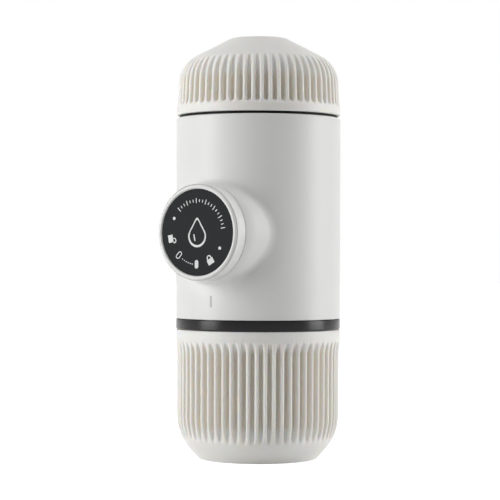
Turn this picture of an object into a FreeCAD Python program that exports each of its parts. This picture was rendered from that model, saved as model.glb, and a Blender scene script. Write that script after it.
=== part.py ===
# Handheld manual espresso maker, standing on its water tank.
# Millimetres. +Z is up through the body, the origin is the centre of the base,
# and the pump knob points along -Y.

import FreeCAD
import Part
import math
import os

V = FreeCAD.Vector

# Overall body
body_r = 30.5
body_wall = 2.2
edge_round = 0.4
seam_round = 0.95

# Heights of the stack, from the base up
tank_h = 48.0
band_h = 4.2
band_shadow_gap = 0.35
shell_h = 73.65
flange_t = 1.0
cup_h = 28.8

# Fits
run_gap = 0.3
slip_gap = 0.1
seat_gap = 0.05

# Ribs on the tank and the cup, their depths taken from the body's side
rib_count = 60
rib_inset = 0.4
rib_depth = 1.65
groove_half_outer = 0.8
groove_half_inner = 0.28
groove_tip_depth = 5.8
tank_groove_margin = 3.5
tank_groove_runout = 5.0
cup_groove_bottom = 3.6
cup_groove_runout = 0.7
cup_groove_lean = 14.3
cup_groove_top = 21.9

# Tank
tank_base_inset = 8.6
tank_chamfer_deg = 47.5
tank_shoulder_round = 19.0
tank_base_round = 1.0
tank_rim_h = 4.2
sleeve_wall = 1.15
sleeve_base_wall = 2.3
sleeve_floor_t = 3.5
foot_width = 4.5
base_groove_w = 1.6
base_groove_h = 0.6
liner_wall = 1.5
neck_shoulder_t = 1.0
neck_lead = 0.5
neck_gap = 0.4
neck_ring_wire = 1.44
neck_ring_h = 4.6

# Black band and what the tank screws into
collar_wall = 1.35
collar_spigot_h = 5.0
collar_step = 1.0
seal_t = 1.05
bulkhead_t = 3.0
screw_inset = 7.6
screw_head_r = 2.8
screw_head_h = 1.8
screw_r = 1.5
screw_depth = 4.8
screw_post_wall = 1.9
vent_x = -12.0
vent_r = 1.1

# Pump, across the body
pump_rise = 30.95
bore_r = 6.8
barrel_wall = 2.0
barrel_end_gap = 0.5
stroke = 24.0
piston_len = 5.0
piston_rest_gap = 0.5
piston_ring_wire = 1.4
rod_r = 3.0
spring_wire = 1.2
spring_clear = 1.2
spring_room = 1.9
spring_turns = 6
barrel_seat_lead = 1.0
barrel_seat_t = 2.0
barrel_seat_gap = 1.5

# Knob and the boss that holds it
knob_out = 9.0
knob_lip_len = 5.7
knob_waist_depth = 0.45
label_margin = 1.7
label_t = 1.1
label_recess = 0.4
boss_wall = 1.6
boss_proud = 0.4
boss_spread = 0.9
boss_sunk = 20.5
boss_blend = 4.5
guide_wall = 1.3
guide_sunk = 0.6
guide_floor_t = 2.0
skirt_wall = 1.2
knob_face_wall = 1.6
plate_t = 2.0
lug_count = 2
lug_arc_deg = 14.0
lug_len = 3.0
lug_h = 0.9
lug_stop = 0.9
unlock_deg = 45.0

# Valves behind the pump
block_inset = 2.4
block_len = 7.8
block_margin = 0.7
valve_set = 2.5
valve_r = 5.0
valve_reach = 15.5
ball_r = 2.0
ball_room_gap = 0.4
seat_r = 1.4
inlet_seat_drop = 10.5
outlet_seat_rise = 5.5
ball_lift = 1.0
tube_wall = 0.9
tube_bore_r = 1.3

# Inner frame
frame_wall = 1.8
deck_t = 3.0
deck_drop = 19.2
web_y = 4.0
web_t = 3.0
window_half = 15.0
window_margin = 5.0

# Brew group, under the cup
group_disc_t = 3.0
group_ring_sunk = 0.5
group_ring_wall = 2.3
group_boss_gap = 0.6
group_boss_h = 3.0
holder_wall = 3.0
screen_margin = 0.5
screen_t = 0.8
screen_hole_r = 0.9
screen_pitch = 7.5
gasket_t = 4.0
basket_wall = 0.5
basket_depth = 15.5
basket_flange_w = 2.6
basket_hole_r = 0.7
basket_pitch = 6.2
chamber_h = 1.6
filter_roof_t = 2.2
flange_inset = 1.2
shoulder_gap = 0.7
shoulder_h = 4.4
cup_ring_h = 0.7
grip_count = 10
grip_r = 1.6
spout_seat_t = 0.9
crema_valve_t = 1.0
spout_r = 5.2
spout_tip_r = 3.2
spout_bore_r = 1.5
spout_drop = 7.5

# Cup
cup_rim_h = 3.4
cup_rim_slope = 1.2
cup_rim_inset = 0.05
cup_side_inset = 0.84
cup_side_h = 12.75
cup_dome_round = 11.3
cup_cone_deg = 27.5
cup_top_r = 10.4
cup_top_round = 4.0
cup_wall = 3.5
cup_roof_wall = 2.3

# Small rounds, chamfers and leads
past = 1.0
small_round = 0.3
fine_round = 0.2
band_chamfer_w = 0.3
band_chamfer_h = 0.45
knob_inner_round = 0.6
knob_foot_out = 0.15
knob_foot_round = 0.25
knob_waist_round = 9.0
knob_lip_h = 1.1
knob_lip_in = 0.5
knob_lip_round = 0.5
label_bevel = 0.35
rod_fillet = 1.0
ring_lead_round = 0.8
basket_round = 1.5
basket_in_round = 1.0
shoulder_round = 1.2
slab_half = 2.0

# Small pieces on the bulkhead
vent_dome_h = 1.2
vent_lip_w = 2.1
vent_lip_h = 0.5
vent_barb_w = 0.5
vent_barb_h = 1.5
vent_tip_in = 0.1
strainer_h = 2.5
strainer_in_h = 1.8
strainer_r = 3.0
strainer_in_r = 2.3
strainer_foot_r = 3.2
strainer_foot_in_r = 2.4
strainer_round = 0.6
strainer_slots = 4
strainer_slot_w = 0.5
strainer_slot_len = 4.4
strainer_hub_r = 0.9
screw_count = 3
screw_turn_deg = 30.0
drive_w = 0.6
drive_len = 2.6
drive_depth = 0.8

# Small rooms in the frame, the pump and the group
back_room = 2.0
back_reach = 4.0
post_cap = 1.0
inlet_hole_h = 4.0
slot_lead = 0.5
slot_side_deg = 2.0
ball_cover = 0.5
outlet_room_h = 8.0
cross_reach = 2.0
screen_ledge = 1.5
water_room_in = 3.0
water_floor_t = 1.0
way_low = 1.0
way_centre_h = 4.0
way_r = 0.9
way_axis = 1.4
hole_margin = 3.0
chamber_in = 2.0
chamber_slope_h = 0.6
nose_foot_w = 4.0
nose_foot_h = 2.5
nose_foot_round = 2.0
nose_wall = 1.5
nose_h = 5.0
nose_round = 0.6
spout_root_h = 6.5
spout_bend_round = 0.8
spout_tip_h = 1.0
spout_tip_in = 0.8
cup_tip_rise = 0.9
cup_over_rise = 2.5
cup_runout_drop = 0.7

# Heights worked out from the stack
band_top = tank_h + band_h
shell_z = band_top + band_shadow_gap
shell_top = shell_z + shell_h
cup_z = shell_top + flange_t
total_h = cup_z + cup_h
bulkhead_z = shell_z + collar_spigot_h
frame_z = bulkhead_z + bulkhead_t
neck_top = bulkhead_z - seal_t
neck_ring_z = tank_h + neck_ring_h
pump_z = shell_z + pump_rise
deck_top_z = shell_top - deck_drop
group_ring_top = shell_top - group_ring_sunk
gasket_top_z = deck_top_z + group_disc_t + gasket_t
basket_top = gasket_top_z + basket_depth
chamber_top = basket_top + chamber_h
holder_roof = chamber_top + filter_roof_t
spout_seat_z = chamber_top + spout_seat_t
spout_top_z = total_h - spout_drop

# Radii worked out from the body's side inwards
rib_crest_r = body_r - rib_inset
rib_floor_r = rib_crest_r - rib_depth
groove_tip_r = rib_crest_r - groove_tip_depth
tank_groove_top = tank_h - tank_groove_margin
tank_groove_full = tank_groove_top - tank_groove_runout
tank_base_r = body_r - tank_base_inset
sleeve_in_r = rib_floor_r - sleeve_wall
sleeve_base_in_r = tank_base_r - sleeve_base_wall
shell_in_r = body_r - body_wall
frame_r = shell_in_r - slip_gap
collar_bore_r = shell_in_r - seat_gap - collar_wall
neck_r = collar_bore_r - neck_gap
neck_in_r = neck_r - liner_wall - neck_lead
holder_r = frame_r - group_ring_wall - run_gap
basket_r = holder_r - holder_wall - run_gap
basket_flange_r = basket_r + basket_flange_w
group_boss_r = basket_r - basket_wall - group_boss_gap
screen_r = group_boss_r - screen_margin
flange_r = body_r - flange_inset
cup_side_r = body_r - cup_side_inset
cup_inner_r = body_r - cup_wall
shoulder_r = cup_inner_r - shoulder_gap

# Pump and knob radii worked out from the bore outwards
barrel_r = bore_r + barrel_wall
spring_mean_r = barrel_r + spring_clear + spring_wire / 2
skirt_in_r = spring_mean_r + spring_wire / 2 + spring_room
skirt_r = skirt_in_r + skirt_wall
guide_in_r = skirt_r + run_gap
guide_out_r = guide_in_r + guide_wall
boss_bore_r = guide_out_r + slip_gap
boss_r = boss_bore_r + boss_wall
boss_base_r = boss_r + boss_spread
knob_lip_r = boss_r - boss_proud
knob_waist_r = knob_lip_r - knob_waist_depth
label_r = knob_lip_r - label_margin
barrel_seat_r = skirt_in_r - barrel_seat_gap
block_r = barrel_r + block_margin
ball_room_r = ball_r + ball_room_gap
tube_r = tube_bore_r + tube_wall

# Places along the pump, towards the knob from the body's axis
knob_front = body_r + knob_out
knob_part_line = knob_front - knob_lip_len
label_face = knob_front - label_recess
label_seat = label_face - label_t
plate_rear = label_seat - knob_face_wall - seat_gap - plate_t
guide_front = knob_part_line - run_gap - guide_sunk
skirt_rear = guide_front - lug_stop - lug_len - stroke
barrel_seat_front = skirt_rear + barrel_seat_lead
block_rear = frame_r - block_inset
barrel_rear = block_len - block_rear
piston_rear = barrel_rear + piston_rest_gap
barrel_front = piston_rear + piston_len + stroke + barrel_end_gap

# Valve line behind the pump
valve_y = valve_set - barrel_rear
valve_low_z = pump_z - valve_reach
valve_high_z = pump_z + valve_reach
inlet_seat_z = pump_z - inlet_seat_drop
outlet_seat_z = pump_z + outlet_seat_rise


def path(corners):
    """Closed wire in the XZ plane through (x, z, corner radius) points."""
    count = len(corners)
    starts = []
    ends = []
    bends = []
    for i in range(count):
        x, z, radius = corners[i]
        here = V(x, 0, z)
        before = V(corners[i - 1][0], 0, corners[i - 1][1])
        after = V(corners[(i + 1) % count][0], 0, corners[(i + 1) % count][1])
        back = (before - here).normalize()
        on = (after - here).normalize()
        if radius <= 0:
            starts.append(here)
            ends.append(here)
            bends.append(None)
            continue
        half = math.acos(max(-1.0, min(1.0, back.dot(on)))) / 2
        tangent = radius / math.tan(half)
        middle = (back + on).normalize()
        centre = here + middle * (radius / math.sin(half))
        starts.append(here + back * tangent)
        ends.append(here + on * tangent)
        bends.append(centre - middle * radius)
    edges = []
    for i in range(count):
        if bends[i] is not None:
            edges.append(Part.Arc(starts[i], bends[i], ends[i]).toShape())
        after = starts[(i + 1) % count]
        if (after - ends[i]).Length > 1e-6:
            edges.append(Part.LineSegment(ends[i], after).toShape())
    return Part.Wire(edges)


def lathe(corners):
    """Turned solid about Z from (radius, height, corner radius) points."""
    face = Part.Face(path(corners))
    return face.revolve(V(0, 0, 0), V(0, 0, 1), 360)


def ring(inner_r, outer_r, low, high):
    """Plain ring or, with no inner radius, a disc."""
    body = Part.makeCylinder(outer_r, high - low, V(0, 0, low))
    if inner_r > 0:
        body = body.cut(Part.makeCylinder(inner_r, high - low + 2 * past, V(0, 0, low - past)))
    return body


def along_pump(shape):
    """Turns a shape made about Z so that its +Z points along the knob, -Y."""
    shape.rotate(V(0, 0, 0), V(1, 0, 0), 90)
    shape.translate(V(0, 0, pump_z))
    return shape


def around(shape, count, phase=0.0):
    """Copies of a shape turned evenly about Z."""
    copies = []
    for i in range(count):
        copy = shape.copy()
        copy.rotate(V(0, 0, 0), V(0, 0, 1), phase + 360.0 * i / count)
        copies.append(copy)
    return copies


def groove_cutter(side_corners):
    """One groove: its side outline in the -Y plane, with drafted walls."""
    side = Part.Face(path(side_corners))
    side.translate(V(0, slab_half, 0))
    slab = side.extrude(V(0, -2 * slab_half, 0))
    slab.rotate(V(0, 0, 0), V(0, 0, 1), -90)
    low = slab.BoundBox.ZMin - past
    high = slab.BoundBox.ZMax + past
    slope = (groove_half_outer - groove_half_inner) / (rib_crest_r - groove_tip_r)
    outer = body_r + 2 * past
    half_outer = groove_half_outer + slope * (outer - rib_crest_r)
    wedge_points = [
        V(-groove_half_inner, -groove_tip_r, low),
        V(-half_outer, -outer, low),
        V(half_outer, -outer, low),
        V(groove_half_inner, -groove_tip_r, low),
        V(-groove_half_inner, -groove_tip_r, low),
    ]
    wedge = Part.Face(Part.makePolygon(wedge_points)).extrude(V(0, 0, high - low))
    return slab.common(wedge)


def cut_grooves(shape, cutter, phase):
    """Cuts the ring of ribs into a turned shape."""
    return shape.cut(around(cutter, rib_count, phase))


def save(name, shape):
    """Writes one piece, and stops if it is not sound."""
    shape = shape.removeSplitter()
    solids = shape.Solids
    if not solids or not shape.isValid():
        raise ValueError(name + " is not a sound solid")
    result = solids[0] if len(solids) == 1 else Part.makeCompound(solids)
    result.exportStep("parts/" + name + ".step")
    print(name, len(solids), round(result.Volume, 1))


def make_tank_sleeve():
    """Ribbed outer shell of the tank, with its chamfered foot."""
    slope = math.tan(math.radians(tank_chamfer_deg))
    corner_z = (rib_crest_r - tank_base_r) * slope
    inner_corner_z = sleeve_floor_t + (sleeve_in_r - sleeve_base_in_r) * slope
    outside = lathe([
        (0, 0, 0),
        (tank_base_r, 0, tank_base_round),
        (rib_crest_r, corner_z, tank_shoulder_round),
        (rib_crest_r, tank_h - 2 * tank_rim_h, 0),
        (body_r, tank_h - tank_rim_h, 0),
        (body_r, tank_h, edge_round),
        (0, tank_h, 0),
    ])
    cutter = groove_cutter([
        (rib_floor_r, -past, 0),
        (rib_floor_r, tank_groove_full, 0),
        (body_r, tank_groove_top + rib_inset, 0),
        (body_r + past, tank_groove_top + rib_inset, 0),
        (body_r + past, -past, 0),
    ])
    half_pitch = 180.0 / rib_count
    ribbed = cut_grooves(outside, cutter, half_pitch)
    inside = lathe([
        (0, sleeve_floor_t, 0),
        (sleeve_base_in_r, sleeve_floor_t, 0),
        (sleeve_in_r, inner_corner_z, 0),
        (sleeve_in_r, tank_h + past, 0),
        (0, tank_h + past, 0),
    ])
    groove_out = tank_base_r - foot_width
    base_groove = ring(groove_out - base_groove_w, groove_out, -past, base_groove_h)
    return ribbed.cut([inside, base_groove])


def liner_outline(offset):
    """Radii and heights of the liner, drawn in from the sleeve by an offset."""
    slope = math.tan(math.radians(tank_chamfer_deg))
    outer_r = sleeve_in_r - slip_gap - offset
    base_r = sleeve_base_in_r - slip_gap - offset * math.tan(math.radians(90 - tank_chamfer_deg) / 2)
    floor_z = sleeve_floor_t + offset
    return outer_r, base_r, floor_z, floor_z + (outer_r - base_r) * slope


def make_tank_liner():
    """Inner water vessel with the neck that screws into the band."""
    outer_r, base_r, floor_z, corner_z = liner_outline(0)
    neck_low = tank_h - neck_shoulder_t
    outside = lathe([
        (0, floor_z, 0),
        (base_r, floor_z, 0),
        (outer_r, corner_z, 0),
        (outer_r, neck_low, edge_round),
        (neck_r, neck_low, 0),
        (neck_r, neck_top, edge_round),
        (0, neck_top, 0),
    ])
    in_r, in_base_r, in_floor_z, in_corner_z = liner_outline(liner_wall)
    inside = lathe([
        (0, in_floor_z, 0),
        (in_base_r, in_floor_z, 0),
        (in_r, in_corner_z, 0),
        (in_r, neck_low - 2 * liner_wall, 0),
        (neck_in_r, neck_low - liner_wall + (in_r - neck_in_r) / 2, 0),
        (neck_in_r, neck_top + past, 0),
        (0, neck_top + past, 0),
    ])
    ring_half = neck_ring_wire / 2 + seat_gap
    ring_floor_r = collar_bore_r - 2 * seat_gap - neck_ring_wire
    ring_seat = ring(ring_floor_r, neck_r + past, neck_ring_z - ring_half, neck_ring_z + ring_half)
    return outside.cut([inside, ring_seat])


def make_neck_ring():
    """O-ring in the groove round the tank's neck."""
    mid_r = collar_bore_r - seat_gap - neck_ring_wire / 2
    return Part.makeTorus(mid_r, neck_ring_wire / 2, V(0, 0, neck_ring_z))


def make_collar():
    """Black band between shell and tank, with the bore for the tank's neck."""
    return lathe([
        (collar_bore_r, tank_h, small_round),
        (body_r - band_chamfer_w, tank_h, 0),
        (body_r, tank_h + band_chamfer_h, fine_round),
        (body_r, band_top, fine_round),
        (body_r - collar_step, band_top, 0),
        (body_r - collar_step, shell_z, 0),
        (shell_in_r - seat_gap, shell_z, 0),
        (shell_in_r - seat_gap, bulkhead_z, 0),
        (collar_bore_r, bulkhead_z, 0),
    ])


def make_tank_seal():
    """Flat seal that the rim of the neck closes against."""
    return ring(neck_in_r, neck_r, neck_top, bulkhead_z)


def bulkhead_screw_places():
    """Places of the screws that hold the bulkhead to the frame."""
    reach = frame_r - screw_inset
    places = []
    for i in range(screw_count):
        angle = math.radians(screw_turn_deg + 360.0 * i / screw_count)
        places.append(V(reach * math.cos(angle), reach * math.sin(angle), 0))
    return places


def make_bulkhead():
    """Floor of the pump room, with its water inlet, vent and screw holes."""
    plate = ring(0, frame_r, bulkhead_z, frame_z)
    low = bulkhead_z - past
    depth = frame_z - bulkhead_z + 2 * past
    holes = [Part.makeCylinder(tube_bore_r, depth, V(0, valve_y, low))]
    holes.append(Part.makeCylinder(vent_r, depth, V(vent_x, 0, low)))
    for spot in bulkhead_screw_places():
        holes.append(Part.makeCylinder(screw_r + seat_gap, depth, V(spot.x, spot.y, low)))
    return plate.cut(holes)


def make_vent_valve():
    """Rubber umbrella valve that lets air into the tank."""
    valve = lathe([
        (0, bulkhead_z - vent_dome_h, 0),
        (vent_r + vent_lip_w, bulkhead_z - vent_lip_h, 0),
        (vent_r + vent_lip_w, bulkhead_z, 0),
        (vent_r - seat_gap, bulkhead_z, 0),
        (vent_r - seat_gap, frame_z, 0),
        (vent_r + vent_barb_w, frame_z, 0),
        (vent_r - vent_tip_in, frame_z + vent_barb_h, 0),
        (0, frame_z + vent_barb_h, 0),
    ])
    valve.translate(V(vent_x, 0, 0))
    return valve


def make_inlet_strainer():
    """Fine filter cap over the water inlet."""
    cap = lathe([
        (0, bulkhead_z - strainer_h, 0),
        (strainer_r, bulkhead_z - strainer_h, strainer_round),
        (strainer_foot_r, bulkhead_z, 0),
        (strainer_foot_in_r, bulkhead_z, 0),
        (strainer_in_r, bulkhead_z - strainer_in_h, small_round),
        (0, bulkhead_z - strainer_in_h, 0),
    ])
    low = bulkhead_z - strainer_h - past
    depth = strainer_h - strainer_in_h + 2 * past
    slots = []
    for i in range(strainer_slots):
        corner = V(-strainer_slot_w / 2, -strainer_slot_len / 2, low)
        slot = Part.makeBox(strainer_slot_w, strainer_slot_len, depth, corner)
        slot.rotate(V(0, 0, 0), V(0, 0, 1), 180.0 * i / strainer_slots)
        slots.append(slot)
    hub = Part.makeCylinder(strainer_hub_r, depth, V(0, 0, low))
    windows = [slot.cut(hub) for slot in slots]
    cap = cap.cut(windows)
    cap.translate(V(0, valve_y, 0))
    return cap


def make_bulkhead_screws():
    """Pan-head screws through the bulkhead into the frame posts."""
    screws = []
    for spot in bulkhead_screw_places():
        screw = lathe([
            (0, bulkhead_z - screw_head_h, 0),
            (screw_head_r, bulkhead_z - screw_head_h, screw_head_h / 2),
            (screw_head_r, bulkhead_z, 0),
            (screw_r, bulkhead_z, 0),
            (screw_r, frame_z + screw_depth, 0),
            (0, frame_z + screw_depth, 0),
        ])
        corner = V(-drive_w / 2, -drive_len / 2, bulkhead_z - screw_head_h - past)
        drive = Part.makeBox(drive_w, drive_len, drive_depth + past, corner)
        cross = drive.copy()
        cross.rotate(V(0, 0, 0), V(0, 0, 1), 90)
        screw = screw.cut([drive, cross])
        screw.translate(spot)
        screws.append(screw)
    return Part.makeCompound(screws)


def make_body_shell():
    """White casing with the round boss for the knob blended into its side."""
    outside = lathe([
        (0, shell_z, 0),
        (body_r, shell_z, edge_round),
        (body_r, shell_top, seam_round),
        (0, shell_top, 0),
    ])
    boss_len = knob_part_line - run_gap
    boss = along_pump(lathe([
        (0, body_r - boss_sunk, 0),
        (boss_base_r, body_r - boss_sunk, 0),
        (boss_r, boss_len, small_round),
        (0, boss_len, 0),
    ]))
    body = outside.fuse(boss).removeSplitter()
    seam = []
    for edge in body.Edges:
        box = edge.BoundBox
        off_axis = math.hypot(box.Center.x, box.Center.z - pump_z)
        wide = max(box.XLength, box.ZLength)
        if box.YMin > -body_r - past and box.YMax < boss_base_r - body_r and wide > boss_r and off_axis < boss_r:
            seam.append(edge)
    body = body.makeFillet(boss_blend, seam)
    inside = ring(0, shell_in_r, shell_z - past, shell_top + past)
    bore = along_pump(ring(0, boss_bore_r, 0, knob_front))
    return body.cut([inside, bore])


def make_inner_frame():
    """Frame inside the casing: posts, deck and the web that holds the pump."""
    wall = ring(frame_r - frame_wall, frame_r, frame_z, deck_top_z)
    side_low = frame_z + window_margin
    side_high = deck_top_z - deck_t - window_margin
    side = Part.makeBox(4 * body_r, 2 * window_half, side_high - side_low)
    side.translate(V(-2 * body_r, -window_half, side_low))
    back = Part.makeBox(2 * (block_r + back_room), body_r, side_high - side_low)
    back.translate(V(-block_r - back_room, frame_r - back_reach, side_low))
    wall = wall.cut([side, back])
    deck = ring(0, frame_r, deck_top_z - deck_t, deck_top_z)
    web = Part.makeBox(2 * frame_r, web_t, deck_top_z - frame_z)
    web.translate(V(-frame_r, web_y, frame_z))
    web = web.common(ring(0, frame_r, frame_z, deck_top_z))
    barrel_hole = along_pump(ring(0, barrel_r + seat_gap, -body_r, body_r))
    web = web.cut(barrel_hole)
    posts = []
    for spot in bulkhead_screw_places():
        post = ring(0, screw_r + screw_post_wall, frame_z, frame_z + screw_depth + post_cap)
        post.translate(spot)
        posts.append(post)
    foot = ring(frame_r - screw_inset - screw_r - screw_post_wall, frame_r, frame_z, frame_z + frame_wall)
    body = wall.fuse([deck, web, foot] + posts)
    tube_hole = Part.makeCylinder(tube_r + seat_gap, deck_t + 2 * past, V(0, valve_y, deck_top_z - deck_t - past))
    inlet_hole = Part.makeCylinder(tube_r + seat_gap, inlet_hole_h, V(0, valve_y, frame_z - past))
    knob_room = along_pump(ring(0, boss_bore_r + slip_gap, 0, body_r + 2 * past))
    holes = [tube_hole, inlet_hole, knob_room]
    for spot in bulkhead_screw_places():
        foot_hole = V(spot.x, spot.y, frame_z - past)
        holes.append(Part.makeCylinder(screw_r + seat_gap, screw_depth + past, foot_hole))
    return body.cut(holes)


def make_guide_sleeve():
    """Black sleeve in the boss that guides the skirt of the knob."""
    rear = barrel_seat_front - barrel_seat_t
    sleeve = lathe([
        (barrel_r + seat_gap, rear - guide_floor_t, 0),
        (guide_out_r, rear - guide_floor_t, edge_round),
        (guide_out_r, guide_front, run_gap),
        (guide_in_r, guide_front, run_gap),
        (guide_in_r, rear, 0),
        (barrel_r + seat_gap, rear, 0),
    ])
    slot_low = skirt_rear - slot_lead
    slot_high = skirt_rear + lug_len + stroke + run_gap
    sweep = unlock_deg + lug_arc_deg + 2 * slot_side_deg
    slot_r = guide_in_r + lug_h + run_gap
    slots = []
    for i in range(lug_count):
        slot = Part.makeCylinder(slot_r, slot_high - slot_low, V(0, 0, slot_low), V(0, 0, 1), sweep)
        core_len = slot_high - slot_low + 2 * past
        core = Part.makeCylinder(guide_in_r - past, core_len, V(0, 0, slot_low - past))
        slot = slot.cut(core)
        slot.rotate(V(0, 0, 0), V(0, 0, 1), -lug_arc_deg / 2 - slot_side_deg + 360.0 * i / lug_count)
        slots.append(slot)
    return along_pump(sleeve.cut(slots))


def make_pump_barrel():
    """Steel pump cylinder with the shoulder that seats on the sleeve."""
    seat_low = barrel_seat_front - barrel_seat_t
    return along_pump(lathe([
        (bore_r, barrel_rear, 0),
        (barrel_r, barrel_rear, 0),
        (barrel_r, seat_low, 0),
        (barrel_seat_r, seat_low, 0),
        (barrel_seat_r, barrel_seat_front, edge_round),
        (barrel_r, barrel_seat_front, 0),
        (barrel_r, barrel_front, edge_round),
        (bore_r, barrel_front, edge_round),
    ]))


def make_piston_rod():
    """Rod with the front plate that the spring and the knob sit on."""
    plate_r = skirt_in_r - run_gap
    hub_r = spring_mean_r - spring_wire / 2 - run_gap
    return along_pump(lathe([
        (0, piston_rear + piston_len, 0),
        (rod_r, piston_rear + piston_len, 0),
        (rod_r, plate_rear - plate_t, rod_fillet),
        (hub_r, plate_rear - plate_t, 0),
        (hub_r, plate_rear, 0),
        (plate_r, plate_rear, 0),
        (plate_r, plate_rear + plate_t, edge_round),
        (0, plate_rear + plate_t, 0),
    ]))


def make_piston_head():
    """Plastic piston on the end of the rod, grooved for its ring."""
    out_r = bore_r - slip_gap
    mid = piston_rear + piston_len / 2
    half = piston_ring_wire / 2 + seat_gap
    floor_r = bore_r - seat_gap - piston_ring_wire
    return along_pump(lathe([
        (0, piston_rear, 0),
        (out_r, piston_rear, small_round),
        (out_r, mid - half, 0),
        (floor_r, mid - half, 0),
        (floor_r, mid + half, 0),
        (out_r, mid + half, 0),
        (out_r, piston_rear + piston_len, small_round),
        (0, piston_rear + piston_len, 0),
    ]))


def make_piston_ring():
    """Sealing ring of the piston."""
    mid_r = bore_r - seat_gap - piston_ring_wire / 2
    ring_shape = Part.makeTorus(mid_r, piston_ring_wire / 2, V(0, 0, piston_rear + piston_len / 2))
    return along_pump(ring_shape)


def arc_leaving(start, tangent, end):
    """Arc from start to end that leaves along a tangent."""
    chord = end - start
    reach = chord.Length
    along = chord * (1 / reach)
    side = tangent - along * tangent.dot(along)
    side.normalize()
    half_turn = tangent.getAngle(along)
    middle = start + chord * 0.5 + side * (reach / 2 * math.tan(half_turn / 2))
    return Part.Arc(start, middle, end).toShape()


def coil_path(radius, low, high, turns):
    """Coil about Z, as two tangent arcs for each half turn."""
    steps = 2 * turns
    rise = (high - low) / steps
    slope = math.hypot(math.pi * radius, rise)
    points = []
    tangents = []
    for i in range(steps + 1):
        angle = math.pi * i
        points.append(V(radius * math.cos(angle), radius * math.sin(angle), low + rise * i))
        flat = math.pi * radius / slope
        tangents.append(V(-flat * math.sin(angle), flat * math.cos(angle), rise / slope))
    edges = []
    for i in range(steps):
        gap = points[i + 1] - points[i]
        both = tangents[i] + tangents[i + 1]
        bend = 2 - 2 * tangents[i].dot(tangents[i + 1])
        pull = gap.dot(both)
        arm = (math.sqrt(pull * pull + bend * gap.dot(gap)) - pull) / bend
        joint = (points[i] + points[i + 1] + (tangents[i] - tangents[i + 1]) * arm) * 0.5
        edges.append(arc_leaving(points[i], tangents[i], joint))
        onward = (joint - points[i] - tangents[i] * arm).normalize()
        edges.append(arc_leaving(joint, onward, points[i + 1]))
    return Part.Wire(edges), points[0], tangents[0]


def least_coil_gap(wire, turns, thickness):
    """Least clear distance between one turn of a coil and the next."""
    per_turn = 24
    points = wire.discretize(per_turn * turns + 1)
    least = 1e9
    for i in range(len(points)):
        for j in range(i + per_turn // 2, len(points)):
            least = min(least, (points[i] - points[j]).Length)
    return least - thickness


def make_return_spring():
    """Return spring, one unbroken wire between the barrel and the rod's plate."""
    low = barrel_seat_front + spring_wire / 2 + seat_gap
    high = plate_rear - spring_wire / 2 - seat_gap
    coil, start, along = coil_path(spring_mean_r, low, high, spring_turns)
    section = Part.Wire(Part.makeCircle(spring_wire / 2, start, along))
    print("least gap between spring turns", round(least_coil_gap(coil, spring_turns, spring_wire), 2))
    return along_pump(coil.makePipeShell([section], True, False))


def make_knob():
    """Knob with its rounded lip, finger waist, label recess and long skirt."""
    inner_face = label_seat - knob_face_wall
    body = lathe([
        (0, inner_face, 0),
        (skirt_in_r, inner_face, knob_inner_round),
        (skirt_in_r, skirt_rear, 0),
        (skirt_r, skirt_rear, small_round),
        (skirt_r, knob_part_line, 0),
        (knob_lip_r + knob_foot_out, knob_part_line, knob_foot_round),
        (knob_waist_r, (knob_part_line + knob_front) / 2, knob_waist_round),
        (knob_lip_r, knob_front - knob_lip_h, knob_lip_round),
        (knob_lip_r - knob_lip_in, knob_front, knob_lip_round),
        (label_r + seat_gap + label_bevel, knob_front, small_round),
        (label_r + seat_gap, label_face, 0),
        (label_r + seat_gap, label_seat, 0),
        (0, label_seat, 0),
    ])
    lugs = []
    for i in range(lug_count):
        lug = Part.makeCylinder(guide_in_r + lug_h, lug_len, V(0, 0, skirt_rear), V(0, 0, 1), lug_arc_deg)
        core = Part.makeCylinder(skirt_r - skirt_wall / 2, lug_len + 2 * past, V(0, 0, skirt_rear - past))
        lug = lug.cut(core)
        lug.rotate(V(0, 0, 0), V(0, 0, 1), -lug_arc_deg / 2 + 360.0 * i / lug_count)
        lugs.append(lug)
    return along_pump(body.fuse(lugs))


def make_knob_label():
    """Charcoal disc set into the face of the knob."""
    return along_pump(lathe([
        (0, label_seat, 0),
        (label_r, label_seat, 0),
        (label_r, label_face, fine_round),
        (0, label_face, 0),
    ]))


def make_valve_block():
    """Block behind the barrel that holds the two ball valves."""
    block = along_pump(ring(0, block_r, -block_rear, barrel_rear))
    column = Part.makeCylinder(valve_r, valve_high_z - valve_low_z, V(0, valve_y, valve_low_z))
    barrel_room = along_pump(ring(0, barrel_r + seat_gap, barrel_rear, 0))
    body = block.fuse(column.cut(barrel_room))
    inlet_room = ball_r * 2 + ball_lift + ball_cover
    height = valve_high_z - valve_low_z
    cross_len = valve_y + barrel_rear + cross_reach + past
    cuts = [
        Part.makeCylinder(seat_r, height + 2 * past, V(0, valve_y, valve_low_z - past)),
        Part.makeCylinder(ball_room_r, inlet_room, V(0, valve_y, inlet_seat_z)),
        Part.makeCylinder(ball_room_r, outlet_room_h, V(0, valve_y, outlet_seat_z)),
        Part.makeCylinder(seat_r, cross_len, V(0, -barrel_rear - past, pump_z), V(0, 1, 0)),
    ]
    return body.cut(cuts)


def make_ball(seat_z):
    """Valve ball, just clear of the rim of its seat."""
    rest = seat_z + math.sqrt(ball_r ** 2 - seat_r ** 2) + seat_gap
    return Part.makeSphere(ball_r, V(0, valve_y, rest))


def make_tube(low, high):
    """Straight steel water tube on the valve line."""
    tube = ring(tube_bore_r, tube_r, low, high)
    tube.translate(V(0, valve_y, 0))
    return tube


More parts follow.
